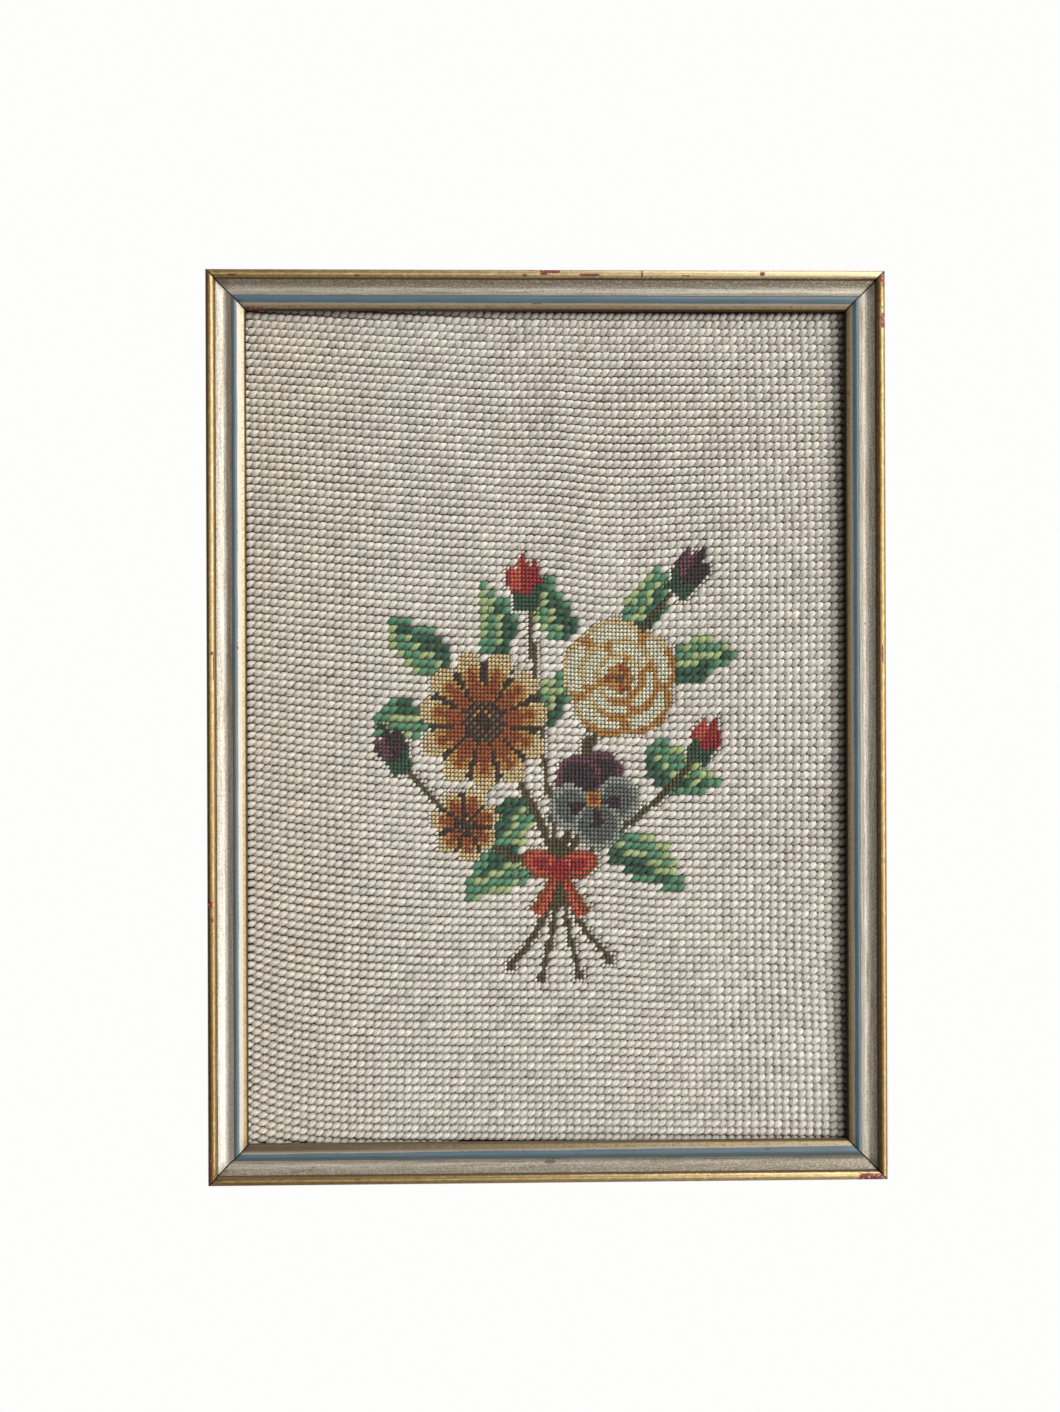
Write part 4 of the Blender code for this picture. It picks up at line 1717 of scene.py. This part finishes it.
select_nothing()
bpy.ops.mesh.primitive_uv_sphere_add(segments=64, ring_count=32, radius=TENT_RADIUS)
tent = bpy.context.active_object
tent.name = "pale_tent_and_floor"
for vertex in tent.data.vertices:
    vertex.co.z = max(vertex.co.z, FLOOR_LEVEL)
tent.data.flip_normals()
bpy.ops.object.shade_smooth()
tent_finish, tree, shader = new_finish("pale_tent")
feed_all(tree, shader, {"Base Color": (0.0, 0.0, 0.0), "Specular IOR Level": 0.0})
feed_all(tree, shader, {"Emission Color": TENT_WHITE, "Emission Strength": 1.0})
tent.data.materials.append(tent_finish)
tent.visible_diffuse = False
tent.visible_glossy = False
tent.visible_transmission = False
tent.visible_shadow = False

# %% [markdown]
# The light comes from a tall wide window at the upper right. A long reflector card stands in
# front, and since it throws no light on what is matt, it only shows in what is glossy. Around both
# is a soft grey room, dark at the left and brighter at the right and behind the picture, and this
# is what gives the silver its shape.

# %% Hang the lights
WINDOW_DIRECTION = Vector((0.640, -0.675, 0.370))
WINDOW_DISTANCE = 1.6
WINDOW_WIDTH = 1.20
WINDOW_HEIGHT = 4.4
WINDOW_POWER = 44.0
CARD_PLACE = Vector((0.1, -2.2, -0.14))
CARD_WIDTH = 2.4
CARD_HEIGHT = 0.9
CARD_POWER = 7.0
ROOM_DARK = 0.045
ROOM_BRIGHT = 0.62
ROOM_BEHIND = 0.60
ROOM_DARK_AT = -0.75
ROOM_BRIGHT_AT = 0.60


def light_panel(name, width, height, power):
    """A lamp that shines from a whole rectangle."""
    panel_data = bpy.data.lights.new(name, "AREA")
    panel_data.shape = "RECTANGLE"
    panel_data.size = width
    panel_data.size_y = height
    panel_data.energy = power
    panel = bpy.data.objects.new(name, panel_data)
    scene.collection.objects.link(panel)
    return panel


aim = Vector((0, 0, MIDDLE))
window = light_panel("window", WINDOW_WIDTH, WINDOW_HEIGHT, WINDOW_POWER)
window.data.color = (1.0, 0.985, 0.96)
window.location = aim + WINDOW_DIRECTION.normalized() * WINDOW_DISTANCE
window.rotation_euler = (aim - window.location).to_track_quat("-Z", "Y").to_euler()

card = light_panel("reflector_card", CARD_WIDTH, CARD_HEIGHT, CARD_POWER)
card.location = CARD_PLACE
card.rotation_euler = (math.radians(90), 0, 0)
card.visible_diffuse = False
print("window and card hung, the window", round(window.location.z - MIDDLE, 2), "m above the middle")

# %% Grey the room
world = bpy.data.worlds.new("soft_room")
scene.world = world
world.use_nodes = True
tree = world.node_tree
direction = tree.nodes.new("ShaderNodeTexCoord").outputs["Generated"]
x, y, z = parted(tree, direction)
behind = step_at(tree, y, 0.45, 0.7)
brightness = add_node(tree, "MapRange", ())
feed_all(tree, brightness, {"Value": x, "From Min": ROOM_DARK_AT, "From Max": ROOM_BRIGHT_AT})
feed_all(tree, brightness, {"To Min": ROOM_DARK, "To Max": ROOM_BRIGHT})
background = tree.nodes["Background"]
background.inputs["Color"].default_value = (1.0, 0.985, 0.955, 1.0)
strength = calc(tree, "MULTIPLY_ADD", behind, ROOM_BEHIND, brightness.outputs["Result"])
tree.links.new(strength, background.inputs["Strength"])

# with plain view settings a colour shows as it was named
scene.view_settings.view_transform = "Standard"
scene.view_settings.look = "None"
scene.view_settings.exposure = 0.0
scene.view_settings.gamma = 1.0
